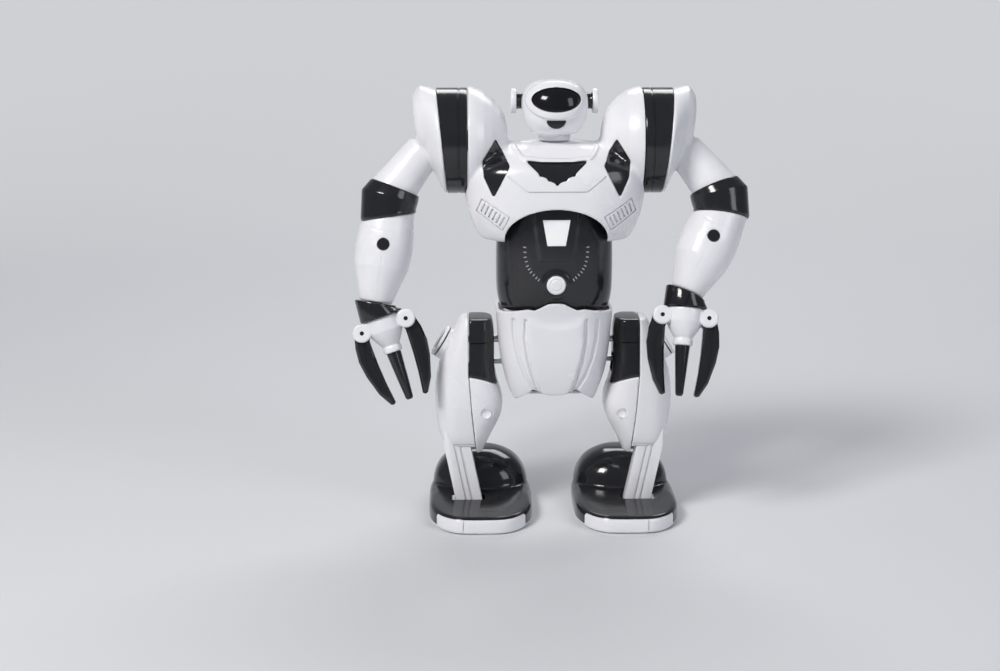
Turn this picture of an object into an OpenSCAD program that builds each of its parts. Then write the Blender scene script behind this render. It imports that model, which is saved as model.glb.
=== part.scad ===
// Toy walking robot: hollow moulded shells in white and black around a small crank drive.
// Millimetres. +Z is up, the face looks along -Y, and the robot's left side is at +X.
// The origin lies on the floor, midway between the feet.

/* [Body] */
// Height of the hip axle above the floor
hip_z = 102; // [85:1:125]
// Height of the waist between pelvis and chest
waist_h = 39; // [32:1:47]
// Half width of the waist and pelvis
waist_half_w = 33; // [31:0.5:40]
// Half width of the chest
chest_half_w = 50; // [48:0.5:60]
// Half depth of the chest
chest_half_d = 34; // [33:0.5:37]
// Wall of the moulded shells
wall = 2; // [1.6:0.1:2.4]

/* [Head] */
// Half width of the head without its ears
head_half_w = 18.5; // [17:0.5:20]
// Half depth of the head
head_half_d = 21; // [19:0.5:23]
// Radius of the neck
neck_r = 9; // [8:0.5:10]
// Radius of an ear disc
ear_r = 7; // [5:0.5:8]
// Width of the visor opening
visor_w = 27.3; // [22:0.1:29]
// Height of the visor opening
visor_h = 13.4; // [10:0.1:15]

/* [Arms] */
// Radius of the shoulder rotor
rotor_r = 29.5; // [28:0.5:30]
// Width of the rotor at its top
rotor_top_w = 17.2; // [15:0.2:19]
// Width of the rotor at its bottom
rotor_bottom_w = 11; // [9:0.2:13]
// Sideways reach from shoulder plane to elbow
elbow_reach = 44.8; // [42:0.2:50]
// Drop from shoulder axis to elbow
elbow_drop = 43; // [40:0.5:50]
// Lean of the upper arm from the vertical
upper_arm_lean = 38; // [34:1:42]
// Inward lean of the elbow's swivel axis
elbow_lean = 8; // [5:1:11]
// Bend of the forearm against the elbow's swivel axis
forearm_bend = 17; // [13:1:20]
// Length of the forearm
forearm_len = 48; // [42:1:56]
// Bend of the left hand against its forearm
left_hand_bend = 20; // [14:1:26]
// Bend of the right hand against its forearm
right_hand_bend = 28; // [24:1:32]
// Forward swing of the left arm as it stands
left_swing = 18; // [15:1:24]
// Forward swing of the right arm as it stands
right_swing = 10; // [8:1:16]
// Twist of the left forearm as it stands
left_twist = 180; // [165:1:195]
// Length of the fingers below the knuckle
finger_len = 44; // [38:1:50]

/* [Legs] */
// Gap between pelvis and hip block
hip_gap = 1; // [0.6:0.1:2]
// Half depth of the thigh at its fullest
thigh_half_d = 19; // [17:0.5:21]
// Width of the ankle bar
ankle_bar_w = 15.1; // [12:0.1:18]
// Thickness of the ankle bar
ankle_bar_t = 9; // [7:0.5:10]
// Half width of a foot
foot_half_w = 30; // [27:0.5:32]
// Half length of a foot
foot_half_l = 50; // [46:0.5:60]
// Thickness of the sole plate
sole_t = 2; // [1.6:0.2:2.6]
// Radius of a foot roller
roller_r = 6.7; // [5.5:0.1:7]

/* [Drive] */
// Radius of the hip axle
axle_r = 2; // [1.6:0.1:2.4]
// Tooth module of the gears
gear_module = 0.6; // [0.55:0.05:0.65]
// Crank throw
crank_throw = 3; // [2:0.1:3.6]
// Radius of a crank pin
crank_pin_r = 1.5; // [1.2:0.1:1.8]
// Diameter of a battery cell
cell_d = 14.5; // [13.5:0.1:15]
// Length of a battery cell
cell_len = 50.5; // [44:0.5:52]

/* [Fits] */
// Radial clearance of a running shaft
run_gap = 0.05; // [0.03:0.01:0.09]
// Clearance between bodies that pass each other
pass_gap = 0.4; // [0.3:0.05:0.6]
// Clearance between pieces fixed to each other
seat_gap = 0.1; // [0.05:0.05:0.2]

/* [Hidden] */
$fn = 48;

// Colours
white_c = [0.92, 0.92, 0.94];
black_c = [0.07, 0.07, 0.08];
smoke_c = [0.02, 0.02, 0.03];
grey_c = [0.35, 0.36, 0.38];
steel_c = [0.7, 0.71, 0.73];
board_c = [0.1, 0.35, 0.18];
cell_c = [0.16, 0.3, 0.2];
nylon_c = [0.85, 0.83, 0.74];
rubber_c = [0.15, 0.15, 0.16];

// A side is 1 for the robot's left and -1 for its right
LEFT = 1;
RIGHT = -1;

// Heights stacked from the hip axle upwards
pelvis_bottom_z = hip_z - 31;
waist_z = hip_z + 20;
chest_z = waist_z + waist_h;
shoulder_z = chest_z + 55;
chest_top_z = shoulder_z;
head_z = chest_top_z + 4;
head_h = 30;

// Loft stations: height, centre x, centre y, half width, half depth, squareness
body_cy = -4;
chest_rings = [
  [chest_z, 0, body_cy + 1, chest_half_w - 10, chest_half_d - 6, 2.6],
  [chest_z + 3, 0, body_cy + 1, chest_half_w - 7, chest_half_d - 3, 2.8],
  [chest_z + 14, 0, body_cy, chest_half_w - 2.5, chest_half_d - 0.5, 3],
  [chest_z + 24, 0, body_cy, chest_half_w, chest_half_d, 3],
  [chest_z + 39, 0, body_cy, chest_half_w, chest_half_d - 0.5, 3],
  [chest_z + 45, 0, body_cy + 2, chest_half_w - 3, chest_half_d - 2, 2.8],
  [chest_z + 51, 0, body_cy + 5, chest_half_w - 12, chest_half_d - 10, 2.5],
  [chest_top_z, 0, body_cy + 6, chest_half_w - 26, chest_half_d - 18, 2.2]];
waist_half_d = 28.3;
sleeve_top_z = chest_z + 25;
sleeve_rings = [
  [waist_z, 0, body_cy, waist_half_w - 2.8, waist_half_d - 3.6, 2.6],
  [waist_z + 9, 0, body_cy, waist_half_w, waist_half_d, 2.6],
  [chest_z, 0, body_cy, waist_half_w, waist_half_d, 2.6],
  [sleeve_top_z, 0, body_cy, waist_half_w - 2, waist_half_d - 1.5, 2.6]];
pelvis_cy = -2;
pelvis_rings = [
  [pelvis_bottom_z, 0, pelvis_cy, waist_half_w - 11, 20, 3],
  [hip_z - 22, 0, pelvis_cy, waist_half_w - 5.5, 24, 3.2],
  [hip_z - 7, 0, pelvis_cy, waist_half_w - 2, 27, 3.2],
  [hip_z + 8, 0, pelvis_cy, waist_half_w - 0.7, 28, 3.2],
  [waist_z, 0, pelvis_cy, waist_half_w, 30.2, 3],
  [waist_z + 10, 0, pelvis_cy, waist_half_w + 0.8, 33.4, 2.6]];
head_rings = [
  [head_z, 0, -1, head_half_w - 7.5, head_half_d - 9, 2.3],
  [head_z + 3, 0, -2, head_half_w - 3.5, head_half_d - 4, 2.3],
  [head_z + 8, 0, -3, head_half_w - 1, head_half_d - 1, 2.3],
  [head_z + 16, 0, -3, head_half_w, head_half_d, 2.3],
  [head_z + 23, 0, -2.5, head_half_w - 0.5, head_half_d - 1, 2.3],
  [head_z + 28, 0, -1.5, head_half_w - 5, head_half_d - 5.5, 2.3],
  [head_z + head_h, 0, -1, head_half_w - 10.5, head_half_d - 12, 2.3]];

// Shoulder, elbow and wrist
shoulder_x = chest_half_w - 1.5;
pauldron_r = rotor_r + 0.5;
spigot_r = 6;
spigot_flange_r = 8;
shoulder_boss_len = 6.5;
neck_boss_len = 6;
rotor_x = shoulder_x + pass_gap;
rotor_slant = atan((rotor_top_w - rotor_bottom_w) / (2 * rotor_r));
rotor_mid_x = rotor_x + (rotor_top_w + rotor_bottom_w) / 2;
bell_lift = 12;
bell_out = 14.5;
elbow_x = shoulder_x + elbow_reach;
elbow_z = shoulder_z - elbow_drop;
elbow_ring_h = 13.3;
tube_end_x = elbow_x - 1;
tube_end_z = elbow_z + elbow_ring_h;
tube_len = 38;
tube_end_r = 13;
elbow_ring_r = 16.4;
elbow_spigot_r = 5;
elbow_flange_r = 6.8;
elbow_neck = 4;
forearm_top_r = 14.3;
forearm_full_r = 16.3;
wrist_r = 9.5;
wrist_spigot_r = 4;
wrist_floor = 3;
cuff_r = 12.2;
cuff_h = 9;
knuckle_r = 4.6;
knuckle_x = 13;
knuckle_z = -cuff_h - knuckle_r - 0.6;
knuckle_pin_r = 1.5;
finger_w = 7;
collar_z = -cuff_h - 21;
collar_r = 5.5;

// Legs
leg_in_x = waist_half_w + hip_gap;
seam_x = leg_in_x + 14.5;
leg_low_z = hip_z - 60.5;
leg_cy = -1;
function leg_ring(dz, inner, outer, half_d, p) =
  [hip_z + dz, leg_in_x + (inner + outer) / 2, leg_cy, (outer - inner) / 2, half_d, p];
leg_rings = [
  leg_ring(-65.5, 7, 17, thigh_half_d - 9, 2.6),
  leg_ring(-60, 5, 30, thigh_half_d - 3.5, 3),
  leg_ring(-52, 1, 32, thigh_half_d - 2, 3),
  leg_ring(-42, -4.5, 33.2, thigh_half_d - 0.5, 3),
  leg_ring(-32, -5, 34, thigh_half_d, 3),
  leg_ring(-22, -0.7, 33.3, thigh_half_d - 0.5, 3),
  leg_ring(-12, 0, 31.2, thigh_half_d - 2, 3),
  leg_ring(-2, 0, 26.6, thigh_half_d - 3.5, 3),
  leg_ring(8, 0.2, 22.2, thigh_half_d - 5, 3),
  leg_ring(14, 1.5, 18.9, thigh_half_d - 7, 2.6)];
leg_screw_z = hip_z - 40;
leg_screw_x = leg_in_x + 4.5;
leg_boss_y = leg_cy - thigh_half_d + 7;
leg_screw_head_y = leg_boss_y - 3;
hip_disc_r = 9.5;
hip_disc_tilt = 32;
block_screw_x = leg_in_x + 7.5;
block_screw_z = hip_z + 6.5;
ankle_y = -11;
ankle_z = 7;
ankle_pin_r = 1.5;
ankle_top_x = leg_in_x + 13.8;
ankle_foot_x = leg_in_x + 6.7;
ankle_cheek_w = 3;
ankle_slope = (ankle_top_x - ankle_foot_x) / (leg_low_z - ankle_z);
ankle_cheek_gap = pass_gap + ankle_slope * ankle_bar_t / 2;
foot_cx = leg_in_x + 8;
foot_low_rings = [
  [0, foot_cx, 0, foot_half_w - 1, foot_half_l - 1, 3],
  [2, foot_cx, 0, foot_half_w, foot_half_l, 3],
  [8, foot_cx, 0, foot_half_w, foot_half_l, 3],
  [11, foot_cx, 1, foot_half_w - 2, foot_half_l - 2.5, 3],
  [12.8, foot_cx, 2, foot_half_w - 5, foot_half_l - 7, 3]];
dome_cy = foot_half_l - 26;
foot_dome_rings = [
  [8, foot_cx, dome_cy, foot_half_w - 2, 24, 2.5],
  [16, foot_cx, dome_cy, foot_half_w - 3, 23.5, 2.5],
  [24, foot_cx, dome_cy, foot_half_w - 7.5, 19.5, 2.4],
  [29, foot_cx, dome_cy, foot_half_w - 14, 14, 2.3],
  [31.5, foot_cx, dome_cy, foot_half_w - 21.5, 7.5, 2.2]];
toe_cap_y = 14 - foot_half_l;
toe_cap_h = 8.5;
toe_cap_x = foot_cx - foot_half_w + 3;
roller_y = dome_cy - 4;
roller_z = roller_r + 0.3;
roller_w = 8;
roller_x = 17;
roller_axle_r = 1.5;
roller_post_x = 9;

// Drive train, seen along X: all shafts are parallel to the hip axle
gear_pressure = 25;
gear_addendum = 0.85;
gear_dedendum = 1.15;
gear_play = 0.16;
pinion_teeth = 10;
wheel_teeth = 32;
idler_teeth = 14;
crank_teeth = 28;
motor_angle = 60;
motor_gap = (pinion_teeth + wheel_teeth) * gear_module / 2;
motor_y = motor_gap * cos(motor_angle);
motor_z = hip_z + motor_gap * sin(motor_angle);
crank_z = hip_z - (idler_teeth + crank_teeth) * gear_module / 2;
motor_w = 20;
motor_t = 15;
motor_x = [-17, 8];
motor_shaft_r = 1;
wheel_x = [10, 14];
idler_x = [14, 19];
crank_gear_x = [15, 18.5];
plate_x = waist_half_w - 12.5;
plate_t = 2;
crank_disc_x = plate_x + plate_t + 0.5;
crank_disc_t = 2.5;
crank_disc_r = crank_throw + crank_pin_r + 1;
crank_pin_end = leg_in_x + 6;
axle_end = leg_in_x + 15;
frame_back_y = motor_y + motor_w / 2;

// Power pack, board and front pieces
box_wall = 1.2;
cell_count = 2;
cell_play = 0.3;
cell_pitch = cell_d + cell_play;
cell_y = 15;
cell_z = chest_z + 24;
cell_back_y = cell_y + cell_d / 2;
box_half_w = cell_len / 2 + cell_play + box_wall;
box_half_h = cell_count * cell_pitch / 2 + cell_play + box_wall;
box_front_y = cell_y - cell_d / 2 - cell_play - box_wall;
box_back_y = cell_back_y - 2;
door_half_w = box_half_w - 2;
door_half_h = box_half_h - 2;
board_y = -22;
board_t = 1.6;
board_half_w = 22;
board_z = [waist_z + 5, sleeve_top_z - 5];
button_z = waist_z + 17;
button_r = 5.5;
button_travel = 1.5;
lamp_z = [chest_z, chest_z + 14.5];
speaker_z = waist_z + 25;
speaker_r = 12;
switch_z = waist_z + 7;
switch_travel = 3;
chest_screw_x = (waist_half_w + chest_half_w) / 2 - 3;
chest_screw_z = [chest_z + 11, chest_z + 40];
pelvis_screw_x = waist_half_w - 6.5;
pelvis_screw_z = hip_z + 11;
screw_r = 1.2;
screw_head_r = 2.4;
boss_r = 3.4;

// Points on a superellipse, which makes round and squarish sections alike
function squircle(rx, ry, p, a) =
  [rx * sign(cos(a)) * pow(abs(cos(a)), 2 / p), ry * sign(sin(a)) * pow(abs(sin(a)), 2 / p)];
function ring_points(s, sides) =
  [for (i = [0 : sides - 1])
    let (p = squircle(s[3], s[4], s[5], 360 * i / sides))
    [s[1] + p[0], s[2] + p[1], s[0]]];
// Stations drawn in by a wall, with the two ends moved up or down
function inset(rings, w, low, high) =
  [for (i = [0 : len(rings) - 1])
    let (s = rings[i], dz = i == 0 ? low : i == len(rings) - 1 ? high : 0)
    [s[0] + dz, s[1], s[2], s[3] - w, s[4] - w, s[5]]];
// Points along an arc and an ellipse
function arc(cx, cy, r, a0, a1, n) =
  [for (i = [0 : n]) let (a = a0 + (a1 - a0) * i / n) [cx + r * cos(a), cy + r * sin(a)]];
function ellipse(rx, ry, n) = [for (i = [0 : n - 1]) [rx * cos(360 * i / n), ry * sin(360 * i / n)]];
function polar(r, a) = [r * cos(a), r * sin(a)];
function by_side(s, left, right) = s == LEFT ? left : right;

// Involute spur gear outline with a tooth centred on its own x axis
function involute(r, base) = r <= base ? 0 : let (a = acos(base / r)) tan(a) * 180 / PI - a;
function half_tooth(r, pitch_r, teeth) =
  let (base = pitch_r * cos(gear_pressure))
  90 / teeth - gear_play / pitch_r * 90 / PI + involute(pitch_r, base) - involute(r, base);
function gear_outline(teeth) =
  let (pitch_r = teeth * gear_module / 2,
       tip = pitch_r + gear_addendum * gear_module,
       root = pitch_r - gear_dedendum * gear_module,
       start = max(root, pitch_r * cos(gear_pressure)),
       flank = [for (k = [0 : 4]) start + (tip - start) * k / 4])
  [for (t = [0 : teeth - 1])
    each concat(
      [polar(root, 360 * t / teeth - half_tooth(start, pitch_r, teeth))],
      [for (r = flank) polar(r, 360 * t / teeth - half_tooth(r, pitch_r, teeth))],
      [for (k = [4 : -1 : 0]) polar(flank[k], 360 * t / teeth + half_tooth(flank[k], pitch_r, teeth))],
      [polar(root, 360 * t / teeth + half_tooth(start, pitch_r, teeth))])];

// A closed body through stacked rings
module loft(rings, sides = 28) {
  last = len(rings) - 1;
  points = [for (s = rings) each ring_points(s, sides)];
  walls = [for (j = [0 : last - 1], i = [0 : sides - 1])
    let (a = j * sides + i, b = j * sides + (i + 1) % sides)
    each [[a, a + sides, b], [b, a + sides, b + sides]]];
  floor_face = [for (i = [0 : sides - 1]) i];
  roof_face = [for (i = [sides - 1 : -1 : 0]) last * sides + i];
  polyhedron(points, concat([floor_face], walls, [roof_face]), convexity = 8);
}
module block(x, y, z) {
  translate([x[0], y[0], z[0]]) cube([x[1] - x[0], y[1] - y[0], z[1] - z[0]]);
}
module rod_x(x, y, z, r) {
  translate([x[0], y, z]) rotate([0, 90, 0]) cylinder(h = x[1] - x[0], r = r);
}
module rod_y(x, y, z, r) {
  translate([x, y[1], z]) rotate([90, 0, 0]) cylinder(h = y[1] - y[0], r = r);
}
module rod_z(x, y, z, r) {
  translate([x, y, z[0]]) cylinder(h = z[1] - z[0], r = r);
}
// Outlines drawn in the front view (x, z) and in the side view (y, z)
module along_y(y) {
  translate([0, y[1], 0]) rotate([90, 0, 0]) linear_extrude(y[1] - y[0]) children();
}
module along_x(x) {
  translate([x[0], 0, 0]) rotate([90, 0, 90]) linear_extrude(x[1] - x[0]) children();
}
module both_sides() {
  children();
  mirror([1, 0, 0]) children();
}
module on_side(s) {
  if (s == LEFT) children();
  else mirror([1, 0, 0]) children();
}
module front_half() { block([-150, 150], [-150, 0], [-10, 300]); }
module back_half() { block([-150, 150], [0, 150], [-10, 300]); }

// Chest
module pauldron(w) {
  x0 = shoulder_x - 22.5 + w;
  profile = [
    [0, x0], [6, x0], [15 - 0.5 * w, x0 + 1.5], [24 - 0.8 * w, x0 + 3.5],
    [pauldron_r - 1.5 - w, x0 + 8], [pauldron_r - w, x0 + 14], [pauldron_r - w, shoulder_x - w],
    [0, shoulder_x - w]];
  translate([0, 0, shoulder_z]) rotate([0, 90, 0]) rotate_extrude() polygon(profile);
}
module chest_form(w, low, high) {
  loft(inset(chest_rings, w, low, high));
  both_sides() pauldron(w);
}
module chest_bosses() {
  rod_z(0, 0, [chest_top_z - neck_boss_len, chest_top_z], neck_r + 1);
  both_sides() rod_x([shoulder_x - shoulder_boss_len, shoulder_x], 0, shoulder_z, spigot_r + 3);
  for (x = [-chest_screw_x, chest_screw_x], z = chest_screw_z) rod_y(x, [-100, 100], z, boss_r);
}
module chest_shell() {
  difference() {
    chest_form(0, 0, 0);
    difference() {
      chest_form(wall, wall, -wall);
      chest_bosses();
    }
  }
}
module chest_bores() {
  rod_z(0, 0, [chest_top_z - 20, chest_top_z + 1], spigot_r + run_gap);
  both_sides() {
    rod_x([shoulder_x - 20, shoulder_x + 1], 0, shoulder_z, spigot_r + run_gap);
    rod_x([shoulder_x, shoulder_x + 20], 0, shoulder_z, pauldron_r + 0.5);
  }
  loft(inset(sleeve_rings, -seat_gap, 0, 0));
}
// Notched V below the collar
module vee_outline(shrink) {
  half_w = 17.3;
  top = chest_z + 46.5;
  tip = chest_z + 34;
  teeth = 4;
  edge = [for (i = [1 : 2 * teeth - 1])
    let (t = i / (2 * teeth), step = i % 2 == 0 ? 1.4 : 0)
    [half_w * (1 - t), top - 3 + (tip - top + 3) * t + step]];
  offset(delta = -shrink) polygon(concat(
    [[-half_w, top], [0, top - 4.5], [half_w, top], [half_w, top - 3]],
    edge, [[0, tip]],
    [for (i = [len(edge) - 1 : -1 : 0]) [-edge[i][0], edge[i][1]]],
    [[-half_w, top - 3]]));
}
module diamond_outline(shrink) {
  x0 = shoulder_x - 15;
  offset(delta = -shrink) polygon([
    [x0, chest_z + 57], [x0 - 7.7, chest_z + 44], [x0 + 1.1, chest_z + 26.7], [x0 + 7.3, chest_z + 46.2]]);
}
module insert_cuts(shrink) {
  along_y([-80, -12]) vee_outline(shrink);
  both_sides() along_y([-80, -12]) diamond_outline(shrink);
}
module arch_cut() {
  half_w = 29;
  rise = 18;
  spring_z = chest_z + 2.8;
  curve = [for (i = [0 : 20]) squircle(half_w, rise, 2.6, 180 * i / 20)];
  along_y([-80, -8]) polygon(concat(
    [[-half_w, chest_z - 2], [half_w, chest_z - 2]],
    [for (p = curve) [p[0], spring_z + p[1]]]));
}
module chest_front_shell() {
  color(white_c) difference() {
    chest_shell();
    back_half();
    chest_bores();
    insert_cuts(0);
    arch_cut();
    for (x = [-chest_screw_x, chest_screw_x], z = chest_screw_z) rod_y(x, [-14, 1], z, screw_r);
  }
}
module door_cut(shrink) {
  block([shrink - door_half_w, door_half_w - shrink], [10, 80],
        [cell_z - door_half_h + shrink, cell_z + door_half_h - shrink]);
}
module chest_back_shell() {
  color(white_c) difference() {
    chest_shell();
    front_half();
    chest_bores();
    door_cut(0);
    for (x = [-chest_screw_x, chest_screw_x], z = chest_screw_z) {
      rod_y(x, [-1, 80], z, screw_r + 0.3);
      rod_y(x, [6, 80], z, screw_head_r + 0.5);
    }
  }
}
module chest_black_inserts() {
  color(black_c) intersection() {
    insert_cuts(seat_gap);
    difference() {
      chest_form(wall * 0.4, 0, -wall * 0.4);
      chest_form(wall + 0.6, -1, -wall - 0.6);
    }
    block([-100, 100], [-100, -12.5], [0, 300]);
  }
}
module battery_door() {
  color(white_c) {
    intersection() {
      difference() {
        loft(chest_rings);
        loft(inset(chest_rings, wall, -1, -wall));
      }
      door_cut(pass_gap);
    }
    block([-10, 10], [cell_back_y + pass_gap, body_cy + chest_half_d - wall / 2], [cell_z - 1, cell_z + 1]);
  }
}

// Waist
module lamp_outline(shrink) {
  offset(delta = -shrink) polygon([
    [-5.2, lamp_z[0]], [5.2, lamp_z[0]], [7.8, lamp_z[1]], [-7.8, lamp_z[1]]]);
}
module switch_pocket(x, y, z) {
  block([-x, x], y, [switch_z - z, switch_z + z]);
}
module waist_sleeve() {
  back_y = body_cy + waist_half_d;
  color(black_c) difference() {
    loft(sleeve_rings);
    difference() {
      loft(inset(sleeve_rings, wall, -1, 1));
      for (x = [-board_half_w + 4, board_half_w - 4], z = [board_z[0] + 4, board_z[1] - 4])
        rod_y(x, [-60, board_y - seat_gap], z, 2.5);
      switch_pocket(13, [back_y - 10, back_y], 5);
    }
    block([-100, 100], [box_front_y - pass_gap, 100], [cell_z - box_half_h - seat_gap, 300]);
    along_y([-60, -20]) lamp_outline(0);
    rod_y(0, [-60, -20], button_z, button_r + pass_gap);
    switch_pocket(10.3, [back_y - 8, back_y - wall - 0.6], 3.3);
    switch_pocket(2.5 + switch_travel + pass_gap, [back_y - 8, back_y + 2], 2.4);
    for (i = [-2 : 2]) block([-8, 8], [15, 60], [speaker_z + 4 * i - 0.8, speaker_z + 4 * i + 0.8]);
  }
}
module waist_lamp_lens() {
  color(white_c) intersection() {
    along_y([-60, -20]) lamp_outline(seat_gap);
    difference() {
      loft(inset(sleeve_rings, -0.3, 0, 0));
      loft(inset(sleeve_rings, wall + 0.4, -1, 1));
    }
  }
}
module start_button() {
  front_y = body_cy - waist_half_d;
  color(white_c) {
    rod_y(0, [front_y - 1.2, front_y + wall + 1], button_z, button_r);
    rod_y(0, [front_y + wall + 0.8, front_y + wall + 2.2], button_z, button_r + 1.6);
    rod_y(0, [front_y + wall + 2, board_y - 2 - button_travel - pass_gap], button_z, 2);
  }
}
module power_switch_knob() {
  back_y = body_cy + waist_half_d;
  color(grey_c) {
    switch_pocket(6.5, [back_y - 7.6, back_y - wall - 1.1], 2.9);
    switch_pocket(2.5, [back_y - wall - 1.2, back_y + 1.4], 2);
  }
}
module speaker() {
  rim_y = body_cy + waist_half_d - wall - 1.4;
  color(grey_c) {
    rod_y(0, [rim_y - 5, rim_y], speaker_z, speaker_r);
    rod_y(0, [rim_y - 9, rim_y - 4.9], speaker_z, 8);
  }
}
module circuit_board() {
  color(board_c) {
    block([-board_half_w, board_half_w], [board_y, board_y + board_t], board_z);
    block([-3, 3], [board_y - 2, board_y + 0.1], [button_z - 3, button_z + 3]);
    rod_y(0, [board_y - 4, board_y + 0.1], lamp_z[0] + 7, 2.5);
    block([-6, 6], [board_y + board_t - 0.1, board_y + board_t + 2], [button_z - 4, button_z + 8]);
  }
}

// Power pack
module battery_box() {
  color(grey_c) difference() {
    block([-box_half_w, box_half_w], [box_front_y, box_back_y], [cell_z - box_half_h, cell_z + box_half_h]);
    block([box_wall - box_half_w, box_half_w - box_wall], [box_front_y + box_wall, 80],
          [cell_z - box_half_h + box_wall, cell_z + box_half_h - box_wall]);
  }
}
module battery_cells() {
  color(cell_c) for (i = [0 : cell_count - 1]) {
    z = cell_z + (i - (cell_count - 1) / 2) * cell_pitch;
    rod_x([-cell_len / 2, cell_len / 2 - 1.2], cell_y, z, cell_d / 2);
    rod_x([cell_len / 2 - 1.3, cell_len / 2], cell_y, z, 2.8);
  }
}

// Pelvis
module pelvis_ledge() {
  difference() {
    block([-100, 100], [-100, 100], [waist_z - 2, waist_z - seat_gap]);
    block([5 - waist_half_w, waist_half_w - 5], [-24, 20], [waist_z - 3, waist_z]);
  }
  for (x = [-pelvis_screw_x, pelvis_screw_x]) rod_y(x, [-60, 60], pelvis_screw_z, boss_r - 0.6);
}
module pelvis_shell() {
  difference() {
    loft(pelvis_rings);
    difference() {
      loft(inset(pelvis_rings, wall, wall, 1));
      pelvis_ledge();
    }
  }
}
module pelvis_bores() {
  rod_x([-60, 60], 0, hip_z, axle_r + run_gap);
  both_sides() rod_x([crank_disc_x, 60], 0, crank_z, crank_throw + crank_pin_r + 1);
}
// Wavy top, pointed tips and a rounded middle, drawn from the front
module shield_outline() {
  side_w = waist_half_w + 6;
  top = [
    [side_w, waist_z], [24, waist_z + 0.8], [14, waist_z + 2.2], [8, waist_z + 6.2], [3, waist_z + 8.4]];
  tip_x = waist_half_w - 12;
  low = [
    [tip_x - 9, hip_z - 27.4], [tip_x - 2, hip_z - 29.6], [tip_x, hip_z - 30.5], [side_w, hip_z - 18]];
  polygon(concat(
    top, [for (i = [len(top) - 1 : -1 : 0]) [-top[i][0], top[i][1]]],
    [for (i = [len(low) - 1 : -1 : 0]) [-low[i][0], low[i][1]]],
    arc(0, hip_z - 2, 24.5, -105, -75, 8), low));
}
module pelvis_shield() {
  color(white_c) difference() {
    intersection() {
      pelvis_shell();
      along_y([-60, 0]) shield_outline();
    }
    pelvis_bores();
    for (x = [-pelvis_screw_x, pelvis_screw_x]) rod_y(x, [-12, 1], pelvis_screw_z, screw_r);
  }
}
module pelvis_back_cover() {
  color(white_c) difference() {
    pelvis_shell();
    front_half();
    block([-100, 100], [-100, 100], [waist_z - seat_gap, 300]);
    pelvis_bores();
    for (x = [-pelvis_screw_x, pelvis_screw_x]) {
      rod_y(x, [-1, 60], pelvis_screw_z, screw_r + 0.3);
      rod_y(x, [8, 60], pelvis_screw_z, screw_head_r + 0.3);
    }
  }
}
module plate_outline() {
  polygon([
    [-9, crank_z - 5.4], [9, crank_z - 5.4], [frame_back_y + 1.5, hip_z - 5],
    [frame_back_y + 1.5, waist_z - 3], [-9, waist_z - 3]]);
}
module pelvis_frame() {
  color(grey_c) difference() {
    union() {
      both_sides() along_x([plate_x, plate_x + plate_t]) plate_outline();
      block([-plate_x - 1, plate_x + 1], [frame_back_y, frame_back_y + 1.5], [hip_z - 5, waist_z - 3]);
      block([motor_x[0] + 1, motor_x[1] - 2], [motor_y, frame_back_y + 0.1],
            [motor_z - motor_t / 2 - 1.5, motor_z - motor_t / 2]);
    }
    rod_x([-40, 40], 0, hip_z, axle_r + run_gap);
    rod_x([-40, 40], 0, crank_z, axle_r + run_gap);
  }
}
module motor() {
  color(steel_c) difference() {
    block(motor_x, [motor_y - motor_w / 2, motor_y + motor_w / 2],
          [motor_z - motor_t / 2, motor_z + motor_t / 2]);
    rod_x([motor_x[1] - 7, motor_x[1] + 1], motor_y, motor_z, motor_shaft_r + run_gap);
  }
}
module hip_axle() {
  color(steel_c) rod_x([-axle_end, axle_end], 0, hip_z, axle_r);
}
module screw_y(x, z, head_y, tip_y) {
  difference() {
    union() {
      rod_y(x, [tip_y, head_y + 1], z, screw_r - 0.05);
      rod_y(x, [head_y, head_y + 1.8], z, screw_head_r);
    }
    block([x - 1.6, x + 1.6], [head_y + 1, head_y + 3], [z - 0.3, z + 0.3]);
  }
}
module body_screws() {
  color(steel_c) {
    for (x = [-chest_screw_x, chest_screw_x], z = chest_screw_z) screw_y(x, z, 6, -12);
    for (x = [-pelvis_screw_x, pelvis_screw_x]) screw_y(x, pelvis_screw_z, 8, -10);
  }
}
module gear(x, y, z, teeth, turn) {
  translate([0, y, z]) along_x(x) rotate(turn) polygon(gear_outline(teeth));
}
module motor_pinion() {
  color(steel_c) {
    gear([wheel_x[0] + 0.2, wheel_x[1]], motor_y, motor_z, pinion_teeth,
         motor_angle + 180 + 180 / pinion_teeth);
    rod_x([motor_x[1] - 6, wheel_x[1] + 0.5], motor_y, motor_z, motor_shaft_r);
  }
}
module reduction_gear() {
  color(nylon_c) difference() {
    union() {
      gear(wheel_x, 0, hip_z, wheel_teeth, motor_angle);
      gear([idler_x[0] - 0.1, idler_x[1]], 0, hip_z, idler_teeth, -90);
    }
    rod_x([0, 30], 0, hip_z, axle_r + run_gap);
  }
}
module crankshaft() {
  color(nylon_c) {
    rod_x([-crank_disc_x - 1, crank_disc_x + 1], 0, crank_z, axle_r);
    gear(crank_gear_x, 0, crank_z, crank_teeth, 90 + 180 / crank_teeth);
    for (s = [LEFT, RIGHT]) on_side(s) {
      rod_x([crank_disc_x, crank_disc_x + crank_disc_t], 0, crank_z, crank_disc_r);
      rod_x([crank_disc_x + 1, crank_pin_end], s * crank_throw, crank_z, crank_pin_r);
    }
  }
}

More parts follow.
